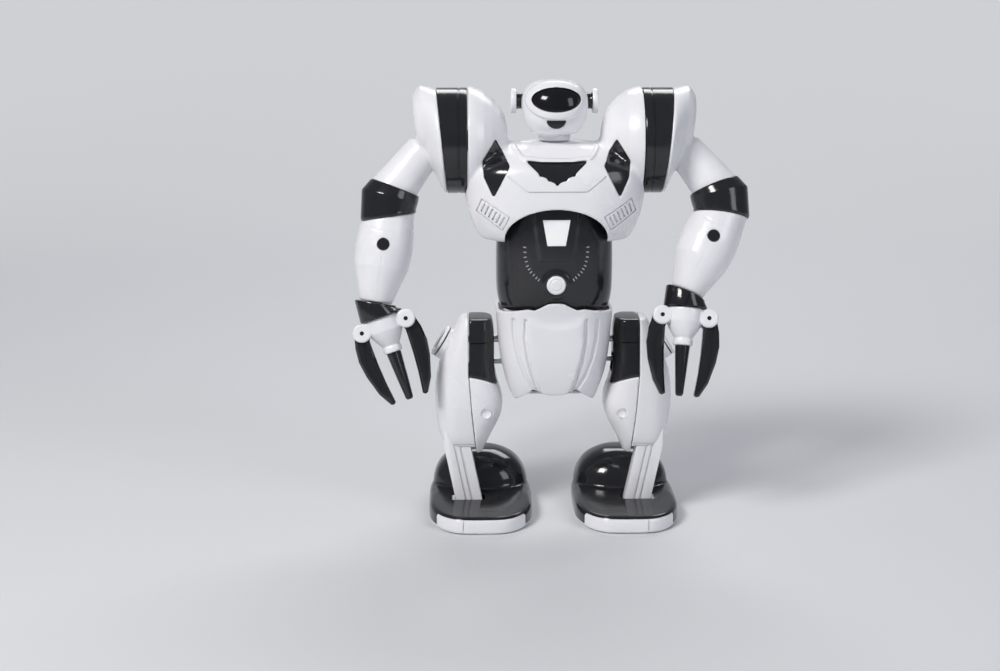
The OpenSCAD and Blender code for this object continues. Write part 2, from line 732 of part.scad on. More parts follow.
// Head
visor_z = head_z + 20.3;
ear_y = 4;
ear_z = head_z + 17.8;
ear_x = head_half_w + 2.9;
ear_hub_r = 4.5;
led_board_y = -13;
led_post_x = 11;
led_post_z = head_z + 13;
module visor_outline(grow) {
  translate([0, visor_z]) polygon(ellipse(visor_w / 2 + grow, visor_h / 2 + grow, 36));
}
module mouth_outline(shrink) {
  offset(delta = -shrink) polygon(concat([[5.4, head_z + 9], [-5.4, head_z + 9]],
    arc(0, head_z + 9.9, 5.5, 190, 350, 10)));
}
module head_shell() {
  difference() {
    union() {
      loft(head_rings);
      intersection() {
        along_y([-60, -8]) visor_outline(2.5);
        loft(inset(head_rings, -2.2, 0, 0));
      }
    }
    difference() {
      loft(inset(head_rings, wall, wall, -wall));
      for (x = [-led_post_x, led_post_x]) rod_y(x, [-60, led_board_y - seat_gap], led_post_z, 2);
    }
    both_sides() rod_x([5, 60], ear_y, ear_z, ear_hub_r + seat_gap);
  }
}
module head_front_shell() {
  color(white_c) difference() {
    head_shell();
    back_half();
    along_y([-60, -8]) visor_outline(0);
    along_y([-60, -8]) mouth_outline(0);
  }
}
module head_back_shell() {
  flange_z = chest_top_z - neck_boss_len - pass_gap;
  color(white_c) {
    difference() {
      head_shell();
      front_half();
    }
    rod_z(0, 0, [chest_top_z + pass_gap, head_z], neck_r);
    block([-4, 4], [1, 7], [head_z - 0.1, head_z + wall]);
    rod_z(0, 0, [flange_z - 2, chest_top_z + 1], spigot_r);
    rod_z(0, 0, [flange_z - 2.2, flange_z], spigot_flange_r);
  }
}
module face_lens() {
  color(smoke_c) intersection() {
    union() {
      along_y([-60, -9]) visor_outline(-seat_gap);
      along_y([-60, -9]) mouth_outline(seat_gap);
    }
    difference() {
      loft(inset(head_rings, -0.4, 0, 0));
      loft(inset(head_rings, wall + 0.3, wall, -wall));
    }
  }
}
module eye_leds() {
  color(board_c) {
    block([-led_post_x - 1.5, led_post_x + 1.5], [led_board_y, led_board_y + 1.6],
          [led_post_z - 3, visor_z + 2]);
    for (x = [-5.5, 5.5]) rod_y(x, [led_board_y - 3.5, led_board_y + 0.1], visor_z, 1.5);
  }
}
module ear_discs() {
  color(white_c) both_sides() {
    rod_x([ear_x, ear_x + 3.4], ear_y, ear_z, ear_r);
    rod_x([head_half_w - 4, ear_x + 0.1], ear_y, ear_z, ear_hub_r);
  }
}

// Arm frames, from the shoulder outwards
function swing(s) = by_side(s, left_swing, right_swing);
function twist(s) = by_side(s, left_twist, 0);
module arm_frame(s) {
  on_side(s) translate([0, 0, shoulder_z]) rotate([-swing(s), 0, 0])
    translate([0, 0, -shoulder_z]) children();
}
module bell_frame() {
  translate([rotor_mid_x, 0, shoulder_z]) rotate([0, 90 + rotor_slant, 0]) children();
}
module tube_frame() {
  translate([tube_end_x, 0, tube_end_z]) rotate([0, -upper_arm_lean, 0]) children();
}
module elbow_frame() {
  translate([elbow_x, 0, elbow_z]) rotate([0, elbow_lean, 0]) children();
}
module forearm_frame(s) {
  rotate([0, 0, twist(s)]) rotate([0, -forearm_bend, 0]) children();
}
module wrist_frame(s) {
  arm_frame(s) elbow_frame() forearm_frame(s) translate([0, 0, -forearm_len]) children();
}
module hand_frame(s) {
  wrist_frame(s) rotate([0, by_side(s, left_hand_bend, right_hand_bend), 0]) children();
}
module shoulder_rotor(s) {
  flange_x = shoulder_x - shoulder_boss_len - pass_gap;
  color(black_c) arm_frame(s) {
    difference() {
      rod_x([rotor_x, rotor_x + 30], 0, shoulder_z, rotor_r);
      rod_x([rotor_x + wall + 0.5, rotor_x + 40], 0, shoulder_z, rotor_r - wall - 0.5);
      bell_frame() translate([-60, -60, 0]) cube(120);
    }
    rod_x([flange_x - 2, rotor_x + 1], 0, shoulder_z, spigot_r);
    rod_x([flange_x - 2.2, flange_x], 0, shoulder_z, spigot_flange_r);
  }
}
module bell_form(w) {
  hull() {
    translate([0, 0, seat_gap - w]) cylinder(r = rotor_r - 0.2 - w, h = 1.6);
    translate([-bell_lift, 0, bell_out - 9]) cylinder(r = 20 - w, h = 4);
    translate([-bell_lift, 0, bell_out - 8]) cylinder(r = 14 - w, h = 8 - w);
  }
}
module upper_arm_shell(s) {
  color(white_c) arm_frame(s) difference() {
    union() {
      bell_frame() bell_form(0);
      tube_frame() cylinder(r1 = tube_end_r, r2 = tube_end_r - 3, h = tube_len - 6);
    }
    bell_frame() bell_form(wall);
    tube_frame() translate([0, 0, -1])
      cylinder(r1 = tube_end_r - wall, r2 = tube_end_r - 3 - wall, h = tube_len - 8);
  }
}
module elbow_ring(s) {
  color(black_c) arm_frame(s) difference() {
    hull() {
      tube_frame() translate([0, 0, -1.5 - seat_gap]) cylinder(r = tube_end_r + 1, h = 1.5);
      elbow_frame() cylinder(r = elbow_ring_r, h = 1.5);
    }
    tube_frame() translate([-50, -50, -seat_gap]) cube(100);
    elbow_frame() translate([0, 0, -1]) cylinder(r = elbow_spigot_r + run_gap, h = elbow_neck + 2);
    elbow_frame() translate([0, 0, elbow_neck]) cylinder(r = elbow_flange_r + 0.8, h = 30);
  }
}
module forearm_profile(w, top, low) {
  polygon([
    [0, top], [forearm_top_r - w - 0.3, top], [forearm_top_r - w, 0], [forearm_full_r - 0.6 - w, -9],
    [forearm_full_r - w, -17], [forearm_full_r - 1 - w, -forearm_len + 20],
    [wrist_r + 2.5 - w, -forearm_len + 10], [wrist_r + 0.6 - w, -forearm_len + 3.5], [wrist_r - w, low],
    [0, low]]);
}
module forearm_shell(s) {
  color(white_c) arm_frame(s) elbow_frame() {
    difference() {
      forearm_frame(s) difference() {
        rotate_extrude() forearm_profile(0, 8, -forearm_len);
        rotate_extrude() forearm_profile(wall, -7.5, wrist_floor - forearm_len);
        translate([0, 0, -forearm_len - 1]) cylinder(r = wrist_spigot_r + run_gap, h = 10);
      }
      translate([-50, -50, -pass_gap]) cube(100);
    }
    translate([0, 0, -2]) cylinder(r = elbow_spigot_r, h = elbow_neck + 4.2);
    translate([0, 0, elbow_neck + pass_gap]) cylinder(r = elbow_flange_r, h = 2);
  }
}
module wrist_cuff(s) {
  color(black_c) {
    hull() {
      wrist_frame(s) translate([0, 0, -1 - pass_gap]) cylinder(r = cuff_r - 0.4, h = 1);
      hand_frame(s) translate([0, 0, -cuff_h]) cylinder(r = cuff_r, h = 1);
    }
    wrist_frame(s) translate([0, 0, -1]) cylinder(r = wrist_spigot_r, h = wrist_floor + 3.2);
    wrist_frame(s) translate([0, 0, wrist_floor + pass_gap]) cylinder(r = wrist_spigot_r + 1.6, h = 1.8);
  }
}
// Side of the hand frame that faces the body
function inner_way(s) = cos(twist(s)) > 0 ? -1 : 1;
module palm(s) {
  ear_in = finger_w / 2 + pass_gap;
  color(white_c) hand_frame(s) {
    difference() {
      union() {
        rotate_extrude() polygon([
          [0, -cuff_h - seat_gap], [10.5, -cuff_h - seat_gap], [10, -cuff_h - 8], [7, -cuff_h - 14],
          [collar_r - 0.5, collar_z + 4], [collar_r, collar_z + 3.4], [collar_r, collar_z], [0, collar_z]]);
        for (w = [-1, 1]) translate([w * knuckle_x, 0, knuckle_z]) rotate([90, 0, 0])
          cylinder(r = knuckle_r, h = 2 * ear_in + 6, center = true);
        block([-knuckle_x, knuckle_x], [-ear_in - 3, ear_in + 3], [knuckle_z - 2, knuckle_z + knuckle_r]);
      }
      for (w = [-1, 1]) translate([w * knuckle_x, 0, knuckle_z]) {
        rotate([90, 0, 0]) cylinder(r = knuckle_r + 1, h = 2 * ear_in, center = true);
        translate([w * 10, 0, -8]) cube([20, 2 * ear_in, 34], center = true);
      }
      translate([0, 0, collar_z - 1]) cylinder(r = 3, h = 6);
    }
    for (w = [-1, 1]) translate([w * knuckle_x, 0, knuckle_z]) rotate([90, 0, 0])
      cylinder(r = knuckle_pin_r, h = 2 * ear_in + 4, center = true);
  }
}
// A claw in the hand's plane, drawn from its knuckle eye down to the tip
module claw_outline() {
  tip = -finger_len;
  polygon(concat(
    arc(0, 0, knuckle_r, 20, 190, 14),
    [[-2.2, -6], [-0.6, -12], [-0.2, -20], [-1.6, tip + 13], [-4.4, tip + 1], [-3.6, tip],
     [-2, tip + 0.5], [2.4, tip + 8], [6, tip + 20], [7.3, -15], [6.6, -7]]));
}
module side_finger(s, way) {
  color(black_c) hand_frame(s) on_side(way) translate([knuckle_x, 0, knuckle_z]) difference() {
    along_y([-finger_w / 2, finger_w / 2]) claw_outline();
    rotate([90, 0, 0]) cylinder(r = knuckle_pin_r + run_gap, h = 30, center = true);
  }
}
module middle_finger(s) {
  color(black_c) hand_frame(s) {
    translate([0, 0, knuckle_z - finger_len])
      cylinder(r1 = 2, r2 = 4.2, h = collar_z - knuckle_z + finger_len - seat_gap);
    translate([0, 0, collar_z - 1]) cylinder(r = 3 - seat_gap, h = 5);
  }
}

// Legs
module hip_side_outline(grow) {
  polygon([
    [leg_in_x - 20, hip_z - 35.4 + grow], [leg_in_x - 1, hip_z - 30.4 + grow],
    [seam_x + 2.5, hip_z - 21.5 + grow], [seam_x + 2.5, hip_z + 30], [leg_in_x - 20, hip_z + 30]]);
}
module bar_form(grow) {
  half_t = ankle_bar_t / 2 + grow;
  lean = [[ankle_foot_x - grow, ankle_z], [ankle_top_x - grow, leg_low_z]];
  drop = 10 * ankle_slope;
  intersection() {
    along_y([-40, 20]) polygon([
      lean[0] - [drop, 10], lean[0], lean[1], [lean[1][0], leg_low_z + 10],
      [lean[1][0] + ankle_bar_w + 2 * grow, leg_low_z + 10], lean[1] + [ankle_bar_w + 2 * grow, 0],
      lean[0] + [ankle_bar_w + 2 * grow, 0], lean[0] + [ankle_bar_w + 2 * grow - drop, -10]]);
    union() {
      rod_x([0, 120], ankle_y, ankle_z, half_t);
      block([0, 120], [ankle_y - half_t, ankle_y + half_t], [ankle_z, leg_low_z + 10 + grow]);
    }
  }
}
module leg_shell() {
  difference() {
    loft(leg_rings);
    difference() {
      loft(inset(leg_rings, wall, 4, -wall));
      rod_y(leg_screw_x, [-60, leg_boss_y], leg_screw_z, boss_r);
    }
    bar_form(seat_gap);
  }
}
module leg_tongue() {
  z = [leg_screw_z - 4, leg_screw_z + 4];
  difference() {
    block([leg_screw_x - 3, seam_x + 3], [leg_boss_y + seat_gap, leg_boss_y + 7], z);
    rod_y(leg_screw_x, [-60, 20], leg_screw_z, screw_r);
  }
  block([seam_x + seat_gap, seam_x + 3], [leg_cy - thigh_half_d + wall / 2, leg_boss_y + 7], z);
}
module leg_outer_shell(s) {
  color(white_c) on_side(s) difference() {
    union() {
      difference() {
        leg_shell();
        block([-100, seam_x + seat_gap], [-100, 100], [0, 300]);
        block([-100, 200], [-100, 100], [0, leg_low_z]);
      }
      translate([seam_x + 11.5, leg_cy, hip_z - 3.5]) rotate([0, 90 - hip_disc_tilt, 0])
        cylinder(r = hip_disc_r, h = 6.5);
      leg_tongue();
    }
    rod_x([leg_in_x, axle_end + 1], 0, hip_z, axle_r + run_gap);
  }
}
module leg_inner_shell(s) {
  color(white_c) on_side(s) difference() {
    leg_shell();
    block([seam_x, 200], [-100, 100], [0, 300]);
    along_y([-60, 60]) hip_side_outline(-seat_gap);
    rod_y(leg_screw_x, [-60, 0], leg_screw_z, screw_r + 0.3);
    rod_y(leg_screw_x, [-60, leg_screw_head_y], leg_screw_z, screw_head_r + 0.2);
  }
}
module hip_block(s) {
  pocket_y = crank_throw + crank_pin_r + 3.2;
  pocket_z = crank_throw + crank_pin_r + 1.2;
  color(black_c) on_side(s) difference() {
    intersection() {
      loft(leg_rings);
      along_y([-60, 60]) hip_side_outline(0);
      block([-100, seam_x - seat_gap], [-100, 100], [0, 300]);
    }
    rod_x([leg_in_x - 10, seam_x + 10], 0, hip_z, axle_r + run_gap);
    block([leg_in_x - 10, crank_pin_end + pass_gap], [-pocket_y, pocket_y],
          [crank_z - pocket_z, crank_z + pocket_z]);
    rod_y(block_screw_x, [-1, 60], block_screw_z, screw_r);
    rod_y(block_screw_x, [9, 60], block_screw_z, screw_head_r + 0.2);
  }
}
module leg_screws(s) {
  color(steel_c) on_side(s) {
    screw_y(block_screw_x, block_screw_z, 9, 0);
    mirror([0, 1, 0]) screw_y(leg_screw_x, leg_screw_z, -leg_screw_head_y, -leg_boss_y - 6);
  }
}
module ankle_bar(s) {
  groove_x = [ankle_bar_w * 0.33, ankle_bar_w * 0.6];
  color(white_c) on_side(s) difference() {
    bar_form(0);
    rod_x([0, 120], ankle_y, ankle_z, ankle_pin_r + run_gap);
    for (g = groove_x) along_y([-60, ankle_y - ankle_bar_t / 2 + 0.8]) polygon([
      [ankle_foot_x + g, ankle_z], [ankle_foot_x + g + 1.2, ankle_z],
      [ankle_top_x + g + 1.2, leg_low_z], [ankle_top_x + g, leg_low_z]]);
  }
}
module toe_zone(grow) {
  block([toe_cap_x - grow, foot_cx + 60], [-80, toe_cap_y + grow], [-1, toe_cap_h + grow]);
}
module foot_upper(s) {
  slot_y = ankle_bar_t / 2 + 2.2;
  color(black_c) on_side(s) difference() {
    union() {
      loft(foot_low_rings);
      loft(foot_dome_rings);
    }
    loft(inset(foot_low_rings, wall, -1, -wall));
    loft(inset(foot_dome_rings, wall, -1, -wall));
    block([-10, 120], [-80, 80], [-5, sole_t + seat_gap]);
    toe_zone(seat_gap);
    block([ankle_foot_x - 1.2, ankle_foot_x + ankle_bar_w + 2.8],
          [ankle_y - slot_y, ankle_y + slot_y], [4, 40]);
  }
}
module foot_sole(s) {
  cheek = ankle_cheek_gap + ankle_cheek_w;
  pin_x = [ankle_foot_x - cheek, ankle_foot_x + ankle_bar_w + cheek];
  color(white_c) on_side(s) {
    difference() {
      union() {
        intersection() {
          loft(foot_low_rings);
          union() {
            block([-10, 120], [-80, 80], [-1, sole_t]);
            toe_zone(0);
          }
        }
        for (w = [-1, 1]) block(
          [foot_cx + w * roller_post_x - 2, foot_cx + w * roller_post_x + 2], [roller_y - 4, roller_y + 4],
          [sole_t - 0.1, roller_z + 3.5]);
        for (x = [pin_x[0], pin_x[1] - ankle_cheek_w]) block(
          [x, x + ankle_cheek_w], [ankle_y - 4, ankle_y + 4], [sole_t - 0.1, ankle_z + 3.2]);
      }
      for (w = [-1, 1]) block(
        [foot_cx + w * roller_x - roller_w / 2 - 1, foot_cx + w * roller_x + roller_w / 2 + 1],
        [roller_y - roller_r - 1, roller_y + roller_r + 1], [-1, sole_t + 1]);
      rod_x([foot_cx - 30, foot_cx + 30], roller_y, roller_z, roller_axle_r + run_gap);
    }
    rod_x(pin_x, ankle_y, ankle_z, ankle_pin_r);
  }
}
module foot_rollers(s) {
  color(rubber_c) on_side(s) {
    rod_x([foot_cx - roller_x - 5, foot_cx + roller_x + 5], roller_y, roller_z, roller_axle_r);
    for (w = [-1, 1]) rod_x(
      [foot_cx + w * roller_x - roller_w / 2, foot_cx + w * roller_x + roller_w / 2],
      roller_y, roller_z, roller_r);
  }
}

chest_front_shell();
chest_back_shell();
chest_black_inserts();
waist_sleeve();
waist_lamp_lens();
pelvis_shield();
pelvis_back_cover();
pelvis_frame();
battery_box();
battery_cells();
speaker();
circuit_board();
motor();
hip_axle();
body_screws();
battery_door();
start_button();
power_switch_knob();
motor_pinion();
reduction_gear();
crankshaft();
head_front_shell();
head_back_shell();
face_lens();
eye_leds();
ear_discs();
shoulder_rotor(LEFT);  // shoulder_rotor_left
upper_arm_shell(LEFT);  // upper_arm_shell_left
elbow_ring(LEFT);  // elbow_ring_left
forearm_shell(LEFT);  // forearm_shell_left
wrist_cuff(LEFT);  // wrist_cuff_left
palm(LEFT);  // palm_left
side_finger(LEFT, inner_way(LEFT));  // finger_inner_left
middle_finger(LEFT);  // finger_middle_left
side_finger(LEFT, -inner_way(LEFT));  // finger_outer_left
shoulder_rotor(RIGHT);  // shoulder_rotor_right
upper_arm_shell(RIGHT);  // upper_arm_shell_right
elbow_ring(RIGHT);  // elbow_ring_right
forearm_shell(RIGHT);  // forearm_shell_right
wrist_cuff(RIGHT);  // wrist_cuff_right
palm(RIGHT);  // palm_right
side_finger(RIGHT, inner_way(RIGHT));  // finger_inner_right
middle_finger(RIGHT);  // finger_middle_right
side_finger(RIGHT, -inner_way(RIGHT));  // finger_outer_right
hip_block(LEFT);  // hip_block_left
leg_outer_shell(LEFT);  // leg_outer_shell_left
leg_inner_shell(LEFT);  // leg_inner_shell_left
leg_screws(LEFT);  // leg_screws_left
ankle_bar(LEFT);  // ankle_bar_left
foot_upper(LEFT);  // foot_upper_left
foot_sole(LEFT);  // foot_sole_left
foot_rollers(LEFT);  // foot_rollers_left
hip_block(RIGHT);  // hip_block_right
leg_outer_shell(RIGHT);  // leg_outer_shell_right
leg_inner_shell(RIGHT);  // leg_inner_shell_right
leg_screws(RIGHT);  // leg_screws_right
ankle_bar(RIGHT);  // ankle_bar_right
foot_upper(RIGHT);  // foot_upper_right
foot_sole(RIGHT);  // foot_sole_right
foot_rollers(RIGHT);  // foot_rollers_right
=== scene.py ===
import math

import bpy
from mathutils import Matrix, Vector


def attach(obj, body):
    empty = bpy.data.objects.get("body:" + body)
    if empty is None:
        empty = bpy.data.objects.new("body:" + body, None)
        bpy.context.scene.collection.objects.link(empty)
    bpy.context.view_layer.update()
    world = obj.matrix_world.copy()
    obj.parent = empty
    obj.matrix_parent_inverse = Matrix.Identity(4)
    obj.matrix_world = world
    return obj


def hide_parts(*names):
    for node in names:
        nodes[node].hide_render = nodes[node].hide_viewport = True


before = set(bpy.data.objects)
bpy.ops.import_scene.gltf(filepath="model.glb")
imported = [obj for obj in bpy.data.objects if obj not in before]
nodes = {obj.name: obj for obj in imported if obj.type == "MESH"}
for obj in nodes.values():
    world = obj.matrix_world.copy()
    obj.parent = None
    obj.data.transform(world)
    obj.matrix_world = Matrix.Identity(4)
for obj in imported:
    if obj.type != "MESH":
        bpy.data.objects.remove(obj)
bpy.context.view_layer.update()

# Setting: a pale seamless sweep, three soft lamps and a camera a metre away,
# a little above the toy and slightly to its right, as the toy was pictured.
scene = bpy.context.scene
scene.view_settings.view_transform = "Standard"
camera_range = 1.0
camera_rise = math.radians(11)
camera_side = math.radians(-3)
camera_lens = 62.7
aim_right, aim_down = 0.0304, 0.0211
toy_middle = Vector((0, 0, 0.125))
back = Vector((
    math.sin(camera_side) * math.cos(camera_rise),
    -math.cos(camera_side) * math.cos(camera_rise),
    math.sin(camera_rise)))
camera_at = toy_middle + back * camera_range
right = (-back).cross(Vector((0, 0, 1))).normalized()
up = right.cross(-back)
aim = toy_middle - right * aim_right - up * aim_down
camera = bpy.data.objects.new("camera", bpy.data.cameras.new("camera"))
scene.collection.objects.link(camera)
camera.location = camera_at
camera.rotation_euler = (aim - camera_at).to_track_quat("-Z", "Y").to_euler()
camera.data.lens = camera_lens
camera.data.sensor_width = 36
scene.camera = camera

sweep_half, sweep_depth, sweep_height = 3.0, 1.6, 2.4
bpy.ops.object.select_all(action="DESELECT")
bpy.ops.mesh.primitive_plane_add(size=2 * sweep_half, location=(0, sweep_depth - sweep_half, 0))
sweep = bpy.context.object
sweep.name = "sweep"
bpy.ops.object.transform_apply(location=True)
bpy.ops.object.mode_set(mode="EDIT")
bpy.ops.mesh.select_all(action="DESELECT")
bpy.ops.object.mode_set(mode="OBJECT")
for edge in sweep.data.edges:
    ends = [sweep.data.vertices[i].co.y for i in edge.vertices]
    edge.select = min(ends) > 0
for vertex in sweep.data.vertices:
    vertex.select = vertex.co.y > 0
bpy.ops.object.mode_set(mode="EDIT")
bpy.ops.mesh.select_mode(type="EDGE")
bpy.ops.mesh.extrude_region_move(TRANSFORM_OT_translate={"value": (0, 0, sweep_height)})
bpy.ops.object.mode_set(mode="OBJECT")
bend = sweep.modifiers.new("bend", "BEVEL")
bend.width, bend.segments = 0.7, 16
bpy.ops.object.modifier_apply(modifier="bend")
bpy.ops.object.shade_smooth()


def node(tree, kind, **values):
    made = tree.nodes.new(kind)
    for key, value in values.items():
        if key in made.inputs:
            made.inputs[key].default_value = value
        else:
            setattr(made, key, value)
    return made


def wire(tree, *ends):
    for a, b in zip(ends[::2], ends[1::2]):
        tree.links.new(a, b)


pale = (0.62, 0.635, 0.66, 1)
paper = bpy.data.materials.new("sweep_paper")
paper.use_nodes = True
tree = paper.node_tree
paper_shader = tree.nodes["Principled BSDF"]
paper_shader.inputs["Roughness"].default_value = 0.75
paper_shader.inputs["Base Color"].default_value = (0.66, 0.67, 0.69, 1)
where = node(tree, "ShaderNodeTexCoord")
reach = node(tree, "ShaderNodeVectorMath", operation="LENGTH")
far_off = node(
    tree, "ShaderNodeMapRange", interpolation_type="SMOOTHSTEP", **{"From Min": 0.5, "From Max": 1.6})
rays = node(tree, "ShaderNodeLightPath")
seen = node(tree, "ShaderNodeMath", operation="MULTIPLY")
haze = node(tree, "ShaderNodeEmission", Color=pale)
fade = node(tree, "ShaderNodeMixShader")
wire(
    tree,
    where.outputs["Object"], reach.inputs[0], reach.outputs["Value"], far_off.inputs["Value"],
    far_off.outputs["Result"], seen.inputs[0], rays.outputs["Is Camera Ray"], seen.inputs[1],
    seen.outputs[0], fade.inputs[0], paper_shader.outputs[0], fade.inputs[1], haze.outputs[0], fade.inputs[2],
    fade.outputs[0], tree.nodes["Material Output"].inputs["Surface"])
sweep.data.materials.append(paper)

world = bpy.data.worlds.new("studio")
scene.world = world
world.use_nodes = True
sky = world.node_tree
sky_light = sky.nodes["Background"]
sky_light.inputs["Color"].default_value = (0.8, 0.86, 1.0, 1)
sky_light.inputs["Strength"].default_value = 0.2
sky_seen = node(sky, "ShaderNodeBackground", Color=pale)
rays = node(sky, "ShaderNodeLightPath")
seen = node(sky, "ShaderNodeMath", operation="MAXIMUM")
sky_mix = node(sky, "ShaderNodeMixShader")
wire(
    sky,
    rays.outputs["Is Camera Ray"], seen.inputs[0], rays.outputs["Is Transmission Ray"], seen.inputs[1],
    seen.outputs[0], sky_mix.inputs[0], sky_light.outputs[0], sky_mix.inputs[1],
    sky_seen.outputs[0], sky_mix.inputs[2], sky_mix.outputs[0], sky.nodes["World Output"].inputs["Surface"])


lamp_aim = Vector((0, 0, 0.13))


def soft_lamp(name, at, size, power, tint):
    lamp = bpy.data.objects.new(name, bpy.data.lights.new(name, "AREA"))
    lamp.data.shape = "RECTANGLE"
    lamp.data.size, lamp.data.size_y = size
    lamp.data.energy = power
    lamp.data.color = tint
    lamp.location = at
    lamp.rotation_euler = (lamp_aim - Vector(at)).to_track_quat("-Z", "Y").to_euler()
    scene.collection.objects.link(lamp)


soft_lamp("key_lamp", (-0.85, -0.95, 1.25), (0.55, 0.45), 21, (1.0, 0.985, 0.965))
soft_lamp("fill_lamp", (1.1, -0.9, 0.7), (0.5, 0.8), 4.2, (0.94, 0.96, 1.0))
soft_lamp("rim_lamp", (0.3, 1.1, 1.2), (1.2, 0.5), 10, (1.0, 1.0, 1.0))

# Finish shared by all the moulded pieces: injection-moulded plastic keeps a faint
# orange-peel skin from the tool, slight flow mottling, and hairline scuffs from handling.
skin = bpy.data.node_groups.new("moulded_skin", "ShaderNodeTree")
for label, usual in (("Grain Scale", 700.0), ("Gloss", 0.2), ("Scuff", 0.5)):
    socket = skin.interface.new_socket(label, in_out="INPUT", socket_type="NodeSocketFloat")
    socket.default_value = usual
for label in ("Height", "Roughness", "Mottle"):
    skin.interface.new_socket(label, in_out="OUTPUT", socket_type="NodeSocketFloat")

group_in = node(skin, "NodeGroupInput")
group_out = node(skin, "NodeGroupOutput")
where = node(skin, "ShaderNodeTexCoord")
peel = node(skin, "ShaderNodeTexNoise", Detail=2.0, Roughness=0.4)
flow = node(skin, "ShaderNodeTexNoise", Scale=38.0, Detail=3.0, Roughness=0.55)
stretch = node(skin, "ShaderNodeMapping", Scale=(260.0, 40.0, 900.0), Rotation=(0.3, 0.7, 0.4))
scuffs = node(skin, "ShaderNodeTexNoise", Scale=1.0, Detail=4.0, Roughness=0.7)
scuff_band = node(skin, "ShaderNodeMapRange", **{"From Min": 0.62, "From Max": 0.78})
scuff_mix = node(skin, "ShaderNodeMath", operation="MULTIPLY")
flow_range = node(skin, "ShaderNodeMapRange", **{"To Min": -0.045, "To Max": 0.075})
gloss_sum = node(skin, "ShaderNodeMath", operation="ADD")
rough_sum = node(skin, "ShaderNodeMath", operation="MULTIPLY_ADD")
rough_sum.inputs[1].default_value = 0.16
height_mix = node(skin, "ShaderNodeMath", operation="MULTIPLY_ADD")
height_mix.inputs[1].default_value = 0.18
wire(
    skin,
    where.outputs["Object"], peel.inputs["Vector"], group_in.outputs["Grain Scale"], peel.inputs["Scale"],
    where.outputs["Object"], flow.inputs["Vector"], where.outputs["Object"], stretch.inputs["Vector"],
    stretch.outputs["Vector"], scuffs.inputs["Vector"], scuffs.outputs["Fac"], scuff_band.inputs["Value"],
    scuff_band.outputs["Result"], scuff_mix.inputs[0], group_in.outputs["Scuff"], scuff_mix.inputs[1],
    flow.outputs["Fac"], flow_range.inputs["Value"],
    group_in.outputs["Gloss"], gloss_sum.inputs[0], flow_range.outputs["Result"], gloss_sum.inputs[1],
    scuff_mix.outputs[0], rough_sum.inputs[0], gloss_sum.outputs[0], rough_sum.inputs[2],
    flow.outputs["Fac"], height_mix.inputs[0], peel.outputs["Fac"], height_mix.inputs[2],
    height_mix.outputs[0], group_out.inputs["Height"], rough_sum.outputs[0], group_out.inputs["Roughness"],
    flow.outputs["Fac"], group_out.inputs["Mottle"])


def moulded(name, tone, shade, gloss=0.2, scuff=0.5, grain=700.0, peel_depth=0.12, **shader_values):
    """A moulded plastic: two near tones by the flow of the melt, a skin bump and scuffed gloss."""
    made = bpy.data.materials.new(name)
    made.use_nodes = True
    tree = made.node_tree
    shader = tree.nodes["Principled BSDF"]
    for key, value in shader_values.items():
        shader.inputs[key.replace("_", " ")].default_value = value
    surface = node(tree, "ShaderNodeGroup", node_tree=skin)
    surface.inputs["Grain Scale"].default_value = grain
    surface.inputs["Gloss"].default_value = gloss
    surface.inputs["Scuff"].default_value = scuff
    tones = node(tree, "ShaderNodeMix", data_type="RGBA")
    tones.inputs["A"].default_value = (*tone, 1)
    tones.inputs["B"].default_value = (*shade, 1)
    bump = node(tree, "ShaderNodeBump", Strength=peel_depth, Distance=0.0002)
    wire(
        tree,
        surface.outputs["Mottle"], tones.inputs["Factor"], tones.outputs["Result"], shader.inputs["Base Color"],
        surface.outputs["Roughness"], shader.inputs["Roughness"],
        surface.outputs["Height"], bump.inputs["Height"], bump.outputs["Normal"], shader.inputs["Normal"])
    return made


white_plastic = moulded("white_plastic", (0.87, 0.865, 0.89), (0.83, 0.828, 0.855), gloss=0.24, IOR=1.5)
black_plastic = moulded("black_plastic", (0.012, 0.012, 0.014), (0.02, 0.02, 0.023), gloss=0.13, IOR=1.52)

# Chest: two white half shells that meet round the waist, with a wheel-arch pauldron at each
# shoulder and an arch in front over the black waist. Injection moulded, and held together
# by four screws from behind, where the battery door lifts out.
mm = 0.001
wall = 2.0


def only(piece):
    bpy.ops.object.select_all(action="DESELECT")
    piece.select_set(True)
    bpy.context.view_layer.objects.active = piece


def edit(piece):
    only(piece)
    bpy.ops.object.mode_set(mode="EDIT")
    bpy.ops.mesh.select_mode(type="VERT")
    bpy.ops.mesh.select_all(action="SELECT")


def leave():
    bpy.ops.object.mode_set(mode="OBJECT")


def close_up():
    """Merges the seams and turns the faces outwards."""
    bpy.ops.mesh.select_all(action="SELECT")
    bpy.ops.mesh.remove_doubles(threshold=0.0005)
    bpy.ops.mesh.normals_make_consistent(inside=False)
    leave()


def finish_with(piece, kind, **settings):
    only(piece)
    step = piece.modifiers.new(kind.lower(), kind)
    for key, value in settings.items():
        setattr(step, key, value)
    bpy.ops.object.modifier_apply(modifier=step.name)


def flat(name):
    bpy.ops.object.select_all(action="DESELECT")
    bpy.ops.mesh.primitive_plane_add(size=2)
    bpy.context.object.name = name
    edit(bpy.context.object)
    return bpy.context.object


